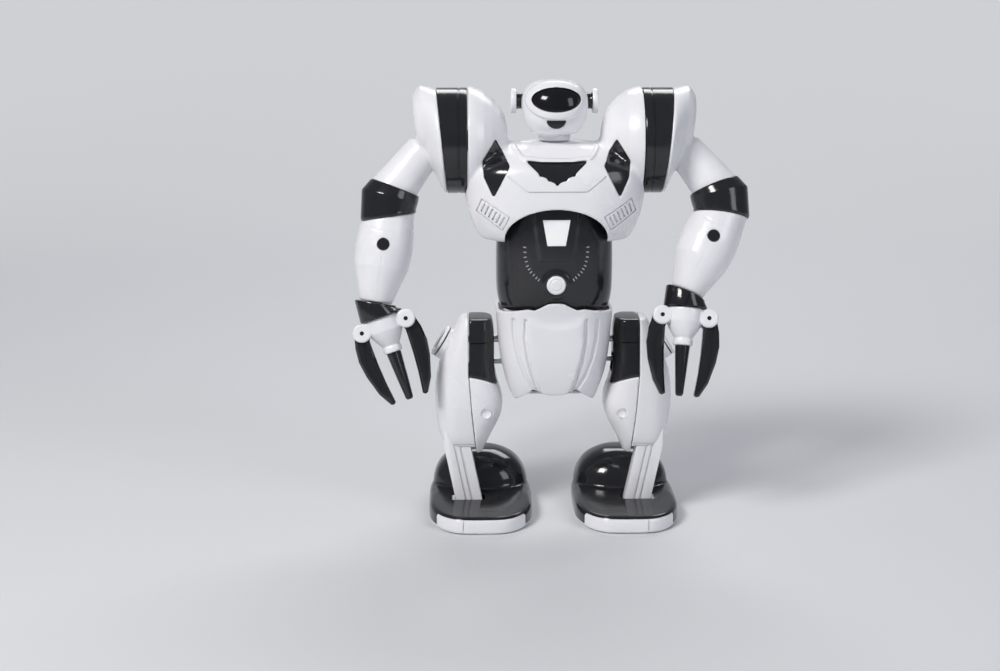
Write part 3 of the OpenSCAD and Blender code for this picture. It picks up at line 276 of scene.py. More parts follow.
def ring_body(name, rings, corner=0.7, levels=2):
    """A round-cornered ring drawn up through stations of height, centre x and y, half width and half depth."""
    piece = flat(name)
    bpy.ops.mesh.bevel(offset=corner, affect="VERTICES", segments=6)
    bpy.ops.mesh.select_all(action="SELECT")
    z, x, y, w, d = rings[0]
    bpy.ops.transform.resize(value=(w, d, 1), center_override=(0, 0, 0))
    bpy.ops.transform.translate(value=(x, y, z))
    for low, high in zip(rings, rings[1:]):
        step = (high[1] - low[1], high[2] - low[2], high[0] - low[0])
        bpy.ops.mesh.extrude_region_move(TRANSFORM_OT_translate={"value": step})
        bpy.ops.transform.resize(
            value=(high[3] / low[3], high[4] / low[4], 1), center_override=(high[1], high[2], high[0]))
    close_up()
    if levels:
        finish_with(piece, "SUBSURF", levels=levels, render_levels=levels)
    return piece


def trace(name, points):
    """A wire pulled from point to point, left open for editing."""
    piece = flat(name)
    bpy.ops.mesh.merge(type="CENTER")
    bpy.ops.transform.translate(value=points[0])
    for a, b in zip(points, points[1:]):
        bpy.ops.mesh.extrude_vertices_move(TRANSFORM_OT_translate={"value": Vector(b) - Vector(a)})
    bpy.ops.mesh.select_all(action="SELECT")
    return piece


def turned(name, profile, axis="Z", at=(0, 0, 0), steps=48, levels=0):
    """A turned piece from its stations of radius and place along the axis."""
    along = Vector([axis == letter for letter in "XYZ"])
    out = Vector((1, 0, 0)) if axis == "Z" else Vector((0, 0, 1))
    grow = 3 / (2 + math.cos(2 * math.pi / steps)) if levels else 1
    piece = trace(name, [Vector(at) + out * r * grow + along * h for r, h in profile])
    bpy.ops.mesh.spin(steps=steps, angle=2 * math.pi, center=at, axis=along)
    close_up()
    if levels:
        finish_with(piece, "SUBSURF", levels=levels, render_levels=levels)
    return piece


def rod(axis, at, radius, span, steps=40):
    return turned("rod", ((0, span[0]), (radius, span[0]), (radius, span[1]), (0, span[1])), axis, at, steps)


def prism(name, outline, span):
    """A front-view outline of x and z, run through a span of y."""
    piece = trace(name, [(x, span[0], z) for x, z in outline])
    bpy.ops.mesh.edge_face_add()
    bpy.ops.mesh.extrude_region_move(TRANSFORM_OT_translate={"value": (0, span[1] - span[0], 0)})
    close_up()
    return piece


def slab(x, y, z):
    return prism("slab", [(x[0], z[0]), (x[1], z[0]), (x[1], z[1]), (x[0], z[1])], y)


def twin(piece, name):
    only(piece)
    bpy.ops.object.duplicate()
    bpy.context.object.name = name
    return bpy.context.object


def carve(piece, tool, how="DIFFERENCE", keep=False):
    finish_with(piece, "BOOLEAN", operation=how, object=tool, solver="MANIFOLD")
    if not keep:
        bpy.data.objects.remove(tool)


def joined(*tools):
    """Several tools that don't touch, as one."""
    only(tools[0])
    for tool in tools:
        tool.select_set(True)
    bpy.ops.object.join()
    return tools[0]


def soften(piece, grid, passes):
    """Runs joins together and rounds the edges, as the tool's fillets do."""
    finish_with(piece, "REMESH", mode="VOXEL", voxel_size=grid)
    finish_with(piece, "SMOOTH", factor=0.5, iterations=passes)


def ease(piece, pick, passes):
    """Smooths only the corners that pick() takes."""
    group = piece.vertex_groups.new(name="eased")
    group.add([v.index for v in piece.data.vertices if pick(v.co)], 1, "REPLACE")
    finish_with(piece, "SMOOTH", factor=0.5, iterations=passes, vertex_group="eased")
    piece.vertex_groups.remove(piece.vertex_groups["eased"])


def swell(piece, by):
    edit(piece)
    bpy.ops.transform.shrink_fatten(value=by)
    leave()


def mirrored(piece, name):
    copy = twin(piece, name)
    edit(copy)
    bpy.ops.transform.resize(value=(-1, 1, 1), center_override=(0, 0, 0))
    bpy.ops.mesh.flip_normals()
    leave()
    return copy


def blade(line, width, span):
    """A thin upright sheet over a front-view line, run through a span of y."""
    sheet = trace("blade", [(x, span[0], z) for x, z in line])
    bpy.ops.mesh.extrude_edges_move(TRANSFORM_OT_translate={"value": (0, span[1] - span[0], 0)})
    bpy.ops.mesh.select_all(action="SELECT")
    bpy.ops.mesh.normals_make_consistent(inside=False)
    leave()
    finish_with(sheet, "SOLIDIFY", thickness=width, offset=0)
    return sheet


def scribe(piece, former, lines, width=0.45, depth=0.5, span=(-90, -6)):
    """Scores front-view lines to one depth all over the former's surface."""
    core = twin(former, "core")
    swell(core, -depth)
    cutter = joined(*[blade(line, width, span) for line in lines])
    carve(cutter, core)
    carve(piece, cutter)


def fitted(tile, form, out, depth):
    """Trims a tool to a tile with the form's own curve, so far proud of it and so far deep."""
    for by, how in ((out, "INTERSECT"), (-depth, "DIFFERENCE")):
        skin_copy = twin(form, "skin_copy")
        swell(skin_copy, by)
        carve(tile, skin_copy, how)
    return tile


def settle(piece, name, body, finish, slot, *stands_for, place=None, crease=35):
    """Takes a piece from millimetres to its place, finishes it and hands it to the body that carries it."""
    piece.name = name
    only(piece)
    piece.matrix_world = Matrix.Scale(mm, 4) @ (place or Matrix.Identity(4))
    turned_over = piece.matrix_world.determinant() < 0
    bpy.ops.object.transform_apply(location=True, rotation=True, scale=True)
    if turned_over:
        edit(piece)
        bpy.ops.mesh.flip_normals()
        leave()
    bpy.ops.object.shade_smooth_by_angle(angle=math.radians(crease))
    piece.data.materials.clear()
    piece.data.materials.append(finish)
    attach(piece, body)
    if stands_for:
        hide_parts(*stands_for)
    return piece


shoulder_x, shoulder_z = 48.5, 216.0
chest_rings = (
    (161, -3, 40, 28), (164, -3, 43.4, 31.2), (175, -4, 48, 34), (185, -4, 50.4, 34.5),
    (200, -4, 50.4, 34.2), (206.5, -2.6, 47.6, 32.6), (212, 1, 38, 24.5), (216, 2, 24, 16))
pauldron_profile = (
    (0, 26), (8, 26.3), (14, 27.8), (19.4, 30.8), (24.2, 35.2), (27.6, 39.8), (29.3, 43.8), (30, 46.8), (30, 52),
    (0, 52))
sleeve_rings = (
    (121.9, 0, -4, 30.2, 24.7), (123, 0, -4, 30.8, 25.4), (131, 0, -4, 33, 28.3), (146, 0, -4, 33, 28.3),
    (161, 0, -4, 33, 28.3), (185, 0, -4, 31.2, 27), (186, 0, -4, 31, 26.8))


def other_side(outline):
    return [(-x, z) for x, z in reversed(outline)]


def chest_solid(name, inset, grid):
    """The whole chest as one block, or the hollow in it when it is inset."""
    rings = [(z, 0, y, w - inset, d - inset) for z, y, w, d in chest_rings]
    rings[0] = (rings[0][0] + inset, *rings[0][1:])
    rings[-1] = (rings[-1][0] - inset, *rings[-1][1:])
    solid = ring_body(name, rings, corner=0.72)
    drum = turned("pauldron", [(max(r - inset, 0), min(x + inset, 52 - 5 * inset)) for r, x in pauldron_profile],
                  "X", (0, 0, shoulder_z), steps=72)
    carve(solid, mirrored(drum, "other_pauldron"), "UNION")
    carve(solid, drum, "UNION")
    soften(solid, grid, 3)
    return solid


def in_valley(co):
    return 15 < abs(co.x) < 34 and 200 < co.z < 230 and math.hypot(co.y, co.z - shoulder_z) < 27.5


chest_form = chest_solid("chest_form", 0, 0.9)
ease(chest_form, in_valley, 60)
for side in (1, -1):
    carve(chest_form, rod("X", (0, 0, shoulder_z), 30.6, sorted((side * shoulder_x, side * 70)), steps=96))
hollow = chest_solid("hollow", wall, 1.6)
chest_screws = [(x, z) for x in (-38.5, 38.5) for z in (172, 201)]
carve(hollow, joined(
    *[rod("Y", (x, 0, z), 3.4, (-60, 60), steps=24) for x, z in chest_screws],
    *[rod("X", (0, 0, shoulder_z), 9, span) for span in ((42, 60), (-60, -42))],
    rod("Z", (0, 0, 0), 10, (210, 230))))
chest_back = twin(chest_form, "chest_back")
carve(chest_back, hollow, keep=True)
waist_room = ring_body("waist_room", sleeve_rings, corner=0.8)
swell(waist_room, 0.2)
carve(chest_back, waist_room)
carve(chest_back, joined(
    rod("Z", (0, 0, 0), 6.3, (190, 230)),
    *[rod("X", (0, 0, shoulder_z), 6.3, span) for span in ((30, 80), (-80, -30))]))
chest_front = twin(chest_back, "chest_front")
carve(chest_front, slab((-99, 99), (-0.1, 99), (100, 300)))
carve(chest_back, slab((-99, 99), (-99, 0.1), (100, 300)))

arch_half_w, arch_rise, arch_z = 28.5, 18.0, 163.8
arch_turns = [math.pi * i / 36 for i in range(37)]
arch = [(arch_half_w * math.cos(a), arch_z + arch_rise * math.sin(a) ** 0.94) for a in arch_turns]
carve(chest_front, prism("arch", [(arch_half_w, 150), *arch, (-arch_half_w, 150)], (-90, -9)))
vee_side = (
    (17.3, 208), (10.4, 201.7), (9.6, 199.7), (8.5, 200), (5.8, 199), (5, 197.1), (3.9, 197.4), (1.5, 196.4))
vee = [*vee_side, (0, 194.5), *other_side(vee_side), (-9, 207.3), (9, 207.3)]
gem = [(33.5, 219), (25.8, 205), (34.6, 187.7), (39.8, 198.5), (40.8, 207.2)]
inlay_outlines = (vee, gem, other_side(gem))
carve(chest_front, joined(*[prism("pocket", outline, (-90, -13)) for outline in inlay_outlines]))
lip_side = ((23.6, 215.2), (20.8, 211.6), (18.4, 209.6), (9, 208.5))
lip = [*lip_side, (0, 208.2), *other_side(lip_side)]
carve(chest_front, fitted(blade(lip, 1.7, (-60, -8)), chest_form, 1.1, 0.8), "UNION")
soften(chest_front, 0.62, 2)
panel_line = [(-26.8, 199.9), (-16.4, 191.6), (16.4, 191.6), (26.8, 199.9)]
vent = [(26, 177.6), (41.2, 187), (44, 180), (30, 170)]
slits, slit_from, slit_to = 6, 0.16, 0.84
vent_frames, vent_slits = [], []
for side in (1, -1):
    near, far, far_low, near_low = [Vector((side * x, z)) for x, z in vent]
    vent_frames.append([(side * x, z) for x, z in vent + vent[:1]])
    for i in range(1, slits + 1):
        top, low = (a.lerp(b, i / (slits + 1)) for a, b in ((near, far), (near_low, far_low)))
        vent_slits.append([top.lerp(low, slit_from), top.lerp(low, slit_to)])
scribe(chest_front, chest_form, [panel_line, *vent_frames], width=0.7, depth=0.8)
scribe(chest_front, chest_form, vent_slits, width=1.0, depth=1.0)
settle(chest_front, "chest_front_moulding", "torso", white_plastic, "white_plastic", "chest_front_shell")

# Chest inlays: a notched V under the neck and a diamond window at each shoulder. They are glossy black
# plastic, moulded to the chest's curve and pressed into their pockets a little below its face.
tiles = []
inlay_fit = 0.985
for outline in inlay_outlines:
    middle = Vector((sum(x for x, _ in outline), sum(z for _, z in outline))) / len(outline)
    tiles.append(prism("tile", [middle + (Vector(p) - middle) * inlay_fit for p in outline], (-90, -13.4)))
inlay = joined(*tiles)
face = twin(chest_form, "face")
swell(face, -0.8)
carve(inlay, face, "INTERSECT")
floor = twin(hollow, "floor")
swell(floor, -0.5)
carve(inlay, floor)
settle(inlay, "chest_black_inlays", "torso", black_plastic, "black_plastic", "chest_black_inserts")

# Battery door: a white moulded panel let into the chest's back, with grip ridges for the thumb.
# It has no hinge, and lifts straight out of its doorway.
door_half_w, door_half_h, door_z, door_corner = 24.75, 14.3, 185.0, 2.5


def rounded(half_w, half_h, radius, z):
    outline = []
    for quarter, (sx, sz) in enumerate(((1, 1), (-1, 1), (-1, -1), (1, -1))):
        for i in range(7):
            a = math.pi / 2 * (quarter + i / 6)
            outline.append((
                sx * (half_w - radius) + radius * math.cos(a), z + sz * (half_h - radius) + radius * math.sin(a)))
    return outline


carve(chest_back, prism("doorway", rounded(door_half_w, door_half_h, door_corner, door_z), (10, 80)))
recess = ((0, -5), (1.5, -5), (1.5, 6), (2.9, 6), (2.9, 80), (0, 80))
carve(chest_back, joined(*[turned("recess", recess, "Y", (x, 0, z), steps=32) for x, z in chest_screws]))
soften(chest_back, 0.62, 2)
settle(chest_back, "chest_back_moulding", "torso", white_plastic, "white_plastic", "chest_back_shell")
door = prism("door", rounded(door_half_w - 0.4, door_half_h - 0.4, door_corner - 0.3, door_z), (10, 80))
carve(door, chest_form, "INTERSECT", keep=True)
ridges = twin(door, "ridges")
carve(door, hollow)
swell(ridges, 0.95)
grip = joined(*[
    slab((-8 + i * 1.1, 8 - i * 1.1), (27, 60), (door_z + 9.2 - i * 3, door_z + 10.7 - i * 3)) for i in range(4)])
carve(grip, ridges, "INTERSECT")
carve(door, grip, "UNION")
carve(door, slab((-10, 10), (22.7, 29.5), (184, 186)), "UNION")
soften(door, 0.42, 2)
settle(door, "battery_door_panel", "battery_door", white_plastic, "white_plastic", "battery_door")
bpy.data.objects.remove(chest_form)

# Waist: one glossy black sleeve between chest and pelvis, moulded with a raised panel round
# the lamp. It is open inside for the board, and cut away behind for the battery box.
lamp_window = [(-5.2, 161), (5.2, 161), (7.8, 175.5), (-7.8, 175.5)]
lamp_panel = [(-9.2, 152.6), (9.2, 152.6), (13.6, 186), (-13.6, 186)]
button_z = 139.0


def cored(rings, lifts):
    """The stations of a hollow one wall inside others, each raised by its lift."""
    return [(z + lift, x, y, w - wall, d - wall) for (z, x, y, w, d), lift in zip(rings, lifts)]


sleeve_form = ring_body("sleeve_form", sleeve_rings, corner=0.8, levels=3)
sleeve = twin(sleeve_form, "sleeve")
carve(sleeve, fitted(prism("panel", lamp_panel, (-60, -18)), sleeve_form, 0.9, 1.0), "UNION")
button_collar = turned("collar", ((0, -45), (7.6, -45), (7.6, -20), (0, -20)), "Y", (0, 0, button_z), steps=64)
lifted = twin(sleeve_form, "lifted")
swell(lifted, 0.7)
carve(button_collar, lifted, "INTERSECT")
carve(sleeve, button_collar, "UNION")
soften(sleeve, 0.6, 5)
carve(sleeve, ring_body("sleeve_core", cored(sleeve_rings, (-1, 0, 0, 0, 0, 0, 1)), corner=0.8))
carve(sleeve, slab((-60, 60), (5.7, 60), (168.5, 200)))
carve(sleeve, prism("lamp_hole", lamp_window, (-60, -20)))
carve(sleeve, rod("Y", (0, 0, button_z), 5.9, (-60, -20), steps=64))
slots = [slab((-8, 8), (15, 60), (146.2 + 4 * i, 147.8 + 4 * i)) for i in range(-2, 3)]
carve(sleeve, joined(*slots, slab((-5.9, 5.9), (15, 60), (126.6, 131.4))))
settle(sleeve, "waist_moulding", "torso", black_plastic, "black_plastic", "waist_sleeve")

# Lamp lens: a milky white window over the lamp, moulded in translucent plastic to the waist's curve
# and clipped into its panel from behind. Its material also glows faintly: the emission colour and strength
# are a painted glow that makes the lens read whiter.
milky_lens = moulded(
    "milky_lens", (0.88, 0.87, 0.88), (0.84, 0.83, 0.84), gloss=0.16, scuff=0.2, grain=900,
    Emission_Color=(1.0, 0.98, 0.97, 1), Emission_Strength=0.12, Subsurface_Weight=0.3,
    Subsurface_Scale=0.002)
pane_z = 168.2
pane = [(x * 0.97, pane_z + (z - pane_z) * 0.98) for x, z in lamp_window]


def round_edges(piece, width, segments, sharp):
    """Rounds the edges that turn by more than so many degrees."""
    finish_with(piece, "BEVEL", width=width, segments=segments, limit_method="ANGLE", angle_limit=math.radians(sharp))


lens = fitted(prism("lens", pane, (-60, -18)), sleeve_form, 1.0, 1.4)
round_edges(lens, 0.4, 3, 50)
settle(lens, "lamp_lens", "torso", milky_lens, "milky_lens", "waist_lamp_lens")

# Gauge marks: two curved rows of small grey dashes that lead down to the button, printed on the waist
# in matt ink.
grey_plastic = moulded("grey_plastic", (0.16, 0.165, 0.175), (0.12, 0.125, 0.135), gloss=0.32, IOR=1.48)
grey_print = moulded("grey_print", (0.36, 0.37, 0.39), (0.3, 0.31, 0.33), gloss=0.5)
mark_rows = [(17.5, 160), (17.2, 154.5), (16, 149.6), (14, 146.2), (11, 143.2), (8.4, 140.8)]
dash_half, dash_w = 0.8, 0.6
marks = []
for start, end in zip(mark_rows, mark_rows[1:]):
    for t in (0.0, 0.5):
        x, z = (start[i] + (end[i] - start[i]) * t for i in (0, 1))
        dash = Vector((x - 1, z - 158)).normalized() * dash_half
        for side in (1, -1):
            ends = [(side * (x + way * dash.x), z + way * dash.y) for way in (-1, 1)]
            marks.append(blade(ends, dash_w, (-45, -22)))
dashes = fitted(joined(*marks), sleeve_form, 0.12, 0.3)
settle(dashes, "waist_gauge_marks", "torso", grey_print, "grey_plastic")
bpy.data.objects.remove(sleeve_form)

# Start button: a turned white push button with a ring on its face, guided in the sleeve
# and sprung by the switch on the board.
button_front = -33.5
button_profile = (
    (0, -0.35), (2.6, -0.3), (3.0, 0.0), (3.2, 0.25), (3.5, 0.25), (3.7, 0.0), (4.3, 0.0), (4.9, 0.25), (5.3, 0.8),
    (5.45, 1.5), (5.45, 4.1), (7.1, 4.1), (7.1, 5.4), (2, 5.4), (2, 9.5), (0, 9.5))
button = turned("button", button_profile, "Y", (0, button_front, button_z), steps=72)
settle(button, "start_button_cap", "start_button", white_plastic, "white_plastic", "start_button")

# Power switch: a grey moulded slider with grip ribs. It runs in a slot low on the waist's back and
# is held by its flange behind the wall.
knob = slab((-6.5, 6.5), (16.7, 21.2), (126.1, 131.9))
carve(knob, slab((-2.5, 2.5), (21, 25.7), (127, 131)), "UNION")
carve(knob, joined(*[slab((x - 0.4, x + 0.4), (25, 27), (126, 132)) for x in (-1.5, 0, 1.5)]))
round_edges(knob, 0.25, 2, 50)
settle(knob, "power_switch_slider", "power_switch", grey_plastic, "grey_plastic", "power_switch_knob")

# Pelvis: a fluted white shield in front, with a wavy top over the waist and two points below,
# and a plain cover behind. The halves close round the gearbox with two screws.
pelvis_rings = (
    (68.8, 0, -2, 23.6, 20), (69.8, 0, -2, 24.4, 20.6), (80, 0, -2, 28, 24.4), (95, 0, -2, 31.2, 27.2),
    (110, 0, -2, 32.5, 28.2), (122, 0, -2, 33.2, 30.4), (131, 0, -2, 34, 33.4), (132.4, 0, -2, 34, 33.6))
top_edge = ((39, 121.6), (33, 122), (25, 123.4), (16, 125.2), (11.7, 124.7), (9, 126), (4.5, 128.4), (1.5, 128.8))
low_edge = (
    (35, 118), (33.6, 106), (30.4, 92), (27, 81), (22.6, 69.6), (12.2, 77.4), (11, 77), (7, 75.2), (3, 74.5))
inner_flute = [(16.8, 119.5), (17, 107.7), (15.4, 96.4), (11.7, 83), (8.4, 75), (7.6, 72)]
outer_flute = [(23.7, 119.5), (23.2, 107.7), (20.9, 96.4), (16.8, 85.1), (12.4, 78), (10, 74)]
pelvis_form = ring_body("pelvis_form", pelvis_rings, corner=0.66)
pelvis_hollow = ring_body("pelvis_hollow", cored(pelvis_rings, (2, 2, 0, 0, 0, 0, 1, 2)), corner=0.66)
axle_at, axle_bore, crank_at = (0, 0, 102), 2.3, (0, 0, 89.4)
pelvis_bores = [rod("X", axle_at, axle_bore, (-60, 60)),
                *[rod("X", crank_at, 5.6, span) for span in ((23, 60), (-60, -23))]]
shield = twin(pelvis_form, "shield")
panel_side = [(x - 0.6, z) for x, z in inner_flute]
middle_panel = [*panel_side, *other_side(panel_side), (-9, 115.6), (0, 114.2), (9, 115.6)]
carve(shield, fitted(prism("panel", middle_panel, (-60, -16)), pelvis_form, 1.4, 1.0), "UNION")
soften(shield, 0.9, 4)
ease(shield, lambda co: co.y < -12 and abs(co.x) < 22, 8)
ease(shield, lambda co: co.y < -12 and abs(co.x) < 17 and 108 < co.z < 121, 40)
flutes = [[(side * x, z) for x, z in line] for side in (1, -1) for line in (inner_flute, outer_flute)]
scribe(shield, pelvis_form, flutes, width=2.1, depth=1.0, span=(-60, -16))
shield_outline = [*top_edge, *other_side(top_edge), *other_side(low_edge[::-1]), *reversed(low_edge)]
carve(shield, pelvis_hollow, keep=True)
carve(shield, prism("front", shield_outline, (-60, -0.1)), "INTERSECT")
carve(shield, joined(*[twin(bore, "bore") for bore in pelvis_bores]))
soften(shield, 0.5, 2)
settle(shield, "pelvis_shield_moulding", "torso", white_plastic, "white_plastic", "pelvis_shield")

cover = pelvis_form
carve(cover, pelvis_hollow)
carve(cover, slab((-60, 60), (-60, 0.1), (0, 200)))
carve(cover, slab((-60, 60), (-60, 60), (121.9, 200)))
carve(cover, joined(*pelvis_bores))
pelvis_screw_x, pelvis_screw_z = 26.5, 113.0
for x in (-pelvis_screw_x, pelvis_screw_x):
    carve(cover, rod("Y", (x, 0, pelvis_screw_z), 3.4, (8, 20), steps=32), "UNION")
    carve(cover, rod("Y", (x, 0, pelvis_screw_z), 2.7, (9.8, 60), steps=32))
    carve(cover, rod("Y", (x, 0, pelvis_screw_z), 1.5, (0, 60), steps=24))
soften(cover, 0.62, 3)
settle(cover, "pelvis_cover_moulding", "torso", white_plastic, "white_plastic", "pelvis_back_cover")

# Head: two white moulded half shells on a short neck, with a raised band round the visor. The neck's
# spigot snaps into the chest and turns there.
head_rings = (
    (219.9, 0, -1, 11.5, 12), (221, 0, -1.4, 13, 14.2), (223, 0, -2, 15.2, 17.2), (228, 0, -3, 17.8, 20.2),
    (236, 0, -3, 18.9, 21.4), (243, 0, -2.5, 18.3, 20.4), (248, 0, -1.5, 14, 16), (250, 0, -1, 8.6, 9.6))
visor_z = 240.3
ear_at = (0, 4, 237.8)


def ellipse(half_w, half_h, z, count=64):
    turns = [2 * math.pi * i / count for i in range(count)]
    return [(half_w * math.cos(a), z + half_h * math.sin(a)) for a in turns]


mouth = [(5.4, 229)]
mouth += [(5.5 * math.cos(a), 229.9 + 5.5 * math.sin(a)) for a in (math.radians(-10 - 10 * i) for i in range(17))]
mouth += [(-5.4, 229)]
head_form = ring_body("head_form", head_rings, corner=0.9, levels=3)
head = twin(head_form, "head")
carve(head, fitted(prism("rim", ellipse(17.0, 10.3, 240), (-60, -5)), head_form, 1.7, 1.0), "UNION")
carve(head, turned("neck", ((0, 216.4), (9, 216.4), (9, 221.5), (0, 221.5)), steps=64), "UNION")
soften(head, 0.5, 5)
head_hollow = ring_body("head_hollow", cored(head_rings, (2, 2, 1, 0, 0, 0, -1.4, -2)), corner=0.9, levels=2)
carve(head, head_hollow, keep=True)
carve(head, joined(*[rod("X", ear_at, 4.7, span) for span in ((10, 60), (-60, -10))]))
head_front = twin(head, "head_front")
carve(head_front, slab((-60, 60), (-0.06, 60), (200, 260)))
carve(head_front, joined(
    prism("eye_hole", ellipse(13.65, 6.7, visor_z), (-60, -8)), prism("mouth_hole", mouth, (-60, -8))))
soften(head_front, 0.42, 2)
settle(head_front, "head_front_moulding", "head", white_plastic, "white_plastic", "head_front_shell")
head_back = head
carve(head_back, slab((-60, 60), (-60, 0.06), (219.8, 260)))
spigot = ((0, 207.4), (8, 207.4), (8, 209.6), (6, 209.6), (6, 217), (0, 217))
carve(head_back, turned("spigot", spigot, steps=64), "UNION")
settle(head_back, "head_back_moulding", "head", white_plastic, "white_plastic", "head_back_shell")

# Face lens: visor and mouth, moulded in one smoked plastic and polished. They are set flush into the
# head's front from inside, with the eye lamps behind them.
smoked_lens = moulded(
    "smoked_lens", (0.006, 0.006, 0.008), (0.01, 0.01, 0.012), gloss=0.1, scuff=0.25, grain=300, peel_depth=0.04,
    IOR=1.45)
mouth_z = 226.9
mouth_pane = [(x * 0.98, mouth_z + (z - mouth_z) * 0.97) for x, z in mouth]
visor = joined(prism("visor", ellipse(13.5, 6.55, visor_z), (-60, -9)), prism("mouth", mouth_pane, (-60, -9)))
skin_copy = twin(head_form, "skin_copy")
swell(skin_copy, 0.1)
carve(visor, skin_copy, "INTERSECT")
swell(head_hollow, -0.3)
carve(visor, head_hollow)
settle(visor, "face_lens_moulding", "head", smoked_lens, "smoked_lens", "face_lens")
bpy.data.objects.remove(head_form)

# Ears: white discs on dark hubs, moulded as plain turned shapes and pressed into the head's sides.
# The hubs leave a gap that sets the discs off from the head.
ear_profile = ((0, 24.3), (4.2, 24.5), (5.9, 24.7), (6.6, 24.4), (7, 23.8), (7, 22.2), (6.6, 21.5), (0, 21.4))
ear = turned("ear", ear_profile, "X", ear_at, steps=64)
ears = joined(ear, mirrored(ear, "other_ear"))
settle(ears, "ear_disc_pair", "head", white_plastic, "white_plastic", "ear_discs")
hub = turned("hub", ((0, 14.5), (4.4, 14.5), (4.4, 20.6), (4.8, 21.3), (0, 21.3)), "X", ear_at, steps=48)
settle(joined(hub, mirrored(hub, "other_hub")), "ear_hub_pair", "head", black_plastic, "black_plastic")

# Shoulders and upper arms: a black drum that turns in the chest, and a white shell blown out
# from it into a bell and a tube. A black elbow ring closes the tube. The right arm is the
# left one mirrored, and each hangs a little forward of the body.
def move(x, y, z):
    return Matrix.Translation((x, y, z))


def lean(degrees, axis="Y"):
    return Matrix.Rotation(math.radians(degrees), 4, axis)


def put(piece, place):
    only(piece)
    piece.matrix_world = place
    bpy.ops.object.transform_apply(location=True, rotation=True, scale=True)
    return piece


def hoop_skin(name, hoops, steps=72):
    """A closed skin over hoops, each with its stand, its place along that stand's z and its radius."""
    piece = flat(name)
    bpy.ops.mesh.delete(type="VERT")
    for stand, z, radius in hoops:
        bpy.ops.mesh.primitive_circle_add(
            vertices=steps, radius=radius, location=stand @ Vector((0, 0, z)), rotation=stand.to_euler())
    bpy.ops.mesh.select_all(action="SELECT")
    bpy.ops.mesh.bridge_edge_loops()
    bpy.ops.mesh.select_all(action="SELECT")
    bpy.ops.mesh.fill_holes(sides=0)
    close_up()
    return piece


swing = {"left": 18, "right": 10}
flip = Matrix.Scale(-1, 4, (1, 0, 0))
arm_at = {
    side: (flip if side == "right" else Matrix.Identity(4))
    @ move(0, 0, shoulder_z) @ lean(-swing[side], "X") @ move(0, 0, -shoulder_z) for side in swing}
bell = move(63, 0, 216) @ lean(96)
tube = move(92.3, 0, 186.3) @ lean(-38)
elbow = move(93.3, 0, 173) @ lean(8)


def handed(piece, name, body, finish, slot, *stands_for, sides=arm_at, crease=35):
    """One piece for each side, the right one mirrored."""
    other = twin(piece, "other")
    for side, half in (("left", piece), ("right", other)):
        settle(half, f"{name}_{side}", f"{body}_{side}", finish, slot, *[f"{kind}_{side}" for kind in stands_for],
               place=sides[side], crease=crease)


rotor_profile = ((0, 48.9), (28.7, 48.9), (29.3, 49.2), (29.5, 49.7), (29.5, 53.2), (29.1, 53.4), (29.1, 54),
                 (29.5, 54.2), (29.5, 82), (27, 82), (27, 51.4), (0, 51.4))
shoulder_peg = ((0, 39.4), (8, 39.4), (8, 41.6), (6, 41.6), (6, 50), (0, 50))
rotor = turned("rotor", rotor_profile, "X", (0, 0, shoulder_z), steps=120)
carve(rotor, put(slab((-60, 60), (-60, 60), (0, 60)), bell))
carve(rotor, turned("peg", shoulder_peg, "X", (0, 0, shoulder_z)), "UNION")
handed(rotor, "shoulder_drum", "upper_arm", black_plastic, "black_plastic", "shoulder_rotor")

bell_hoops = ((0, 0.1, 28.7), (0, 0.5, 29.2), (0, 1.7, 29.3), (-2.5, 3.4, 27.6), (-7, 6.2, 24.2), (-12, 9.3, 20.2),
              (-12, 12.2, 17.4), (-12, 13.8, 15), (-12, 14.5, 12))
arm_shell = hoop_skin("arm_shell", [(bell @ move(x, 0, 0), z, r) for x, z, r in bell_hoops])
arm_tube = [(tube, 0, 12.9), (tube, 0.4, 13), (tube, 16, 11.6), (tube, 32, 10.2)]
carve(arm_shell, hoop_skin("arm_tube", arm_tube), "UNION")
soften(arm_shell, 0.6, 3)
ease(arm_shell, lambda co: 64 < co.x < 90 and 190 < co.z < 224 and (bell.inverted() @ co).z > 4, 24)
carve(arm_shell, hoop_skin("bell_core", [(bell @ move(x, 0, 0), z - wall, r - wall) for x, z, r in bell_hoops]))
carve(arm_shell, hoop_skin("tube_core", [(tube, -1, 11), (tube, 26, 8.6)]))
handed(arm_shell, "upper_arm_moulding", "upper_arm", white_plastic, "white_plastic", "upper_arm_shell")

ring_top = tube @ move(0, 0, 4.5) @ lean(17)
ring_middle = move(92.6, 0, 184.8) @ lean(-14)
ring = hoop_skin("ring", [(ring_top, 0, 14.1), (ring_top, -0.4, 14.5), (ring_middle, 0, 16.3), (elbow, 1.8, 15.7),
                          (elbow, 0.5, 15.7), (elbow, 0, 15.3)])
soften(ring, 0.5, 3)
carve(ring, hoop_skin("tube_seat", [(tube, -0.1, 13), (tube, 0.4, 13.1), (tube, 16, 11.7), (tube, 24, 11)]))
carve(ring, put(rod("Z", (0, 0, 0), 5.05, (-3, 8)), elbow))
carve(ring, put(rod("Z", (0, 0, 0), 7.6, (4, 40)), elbow))
handed(ring, "elbow_band", "upper_arm", black_plastic, "black_plastic", "elbow_ring")

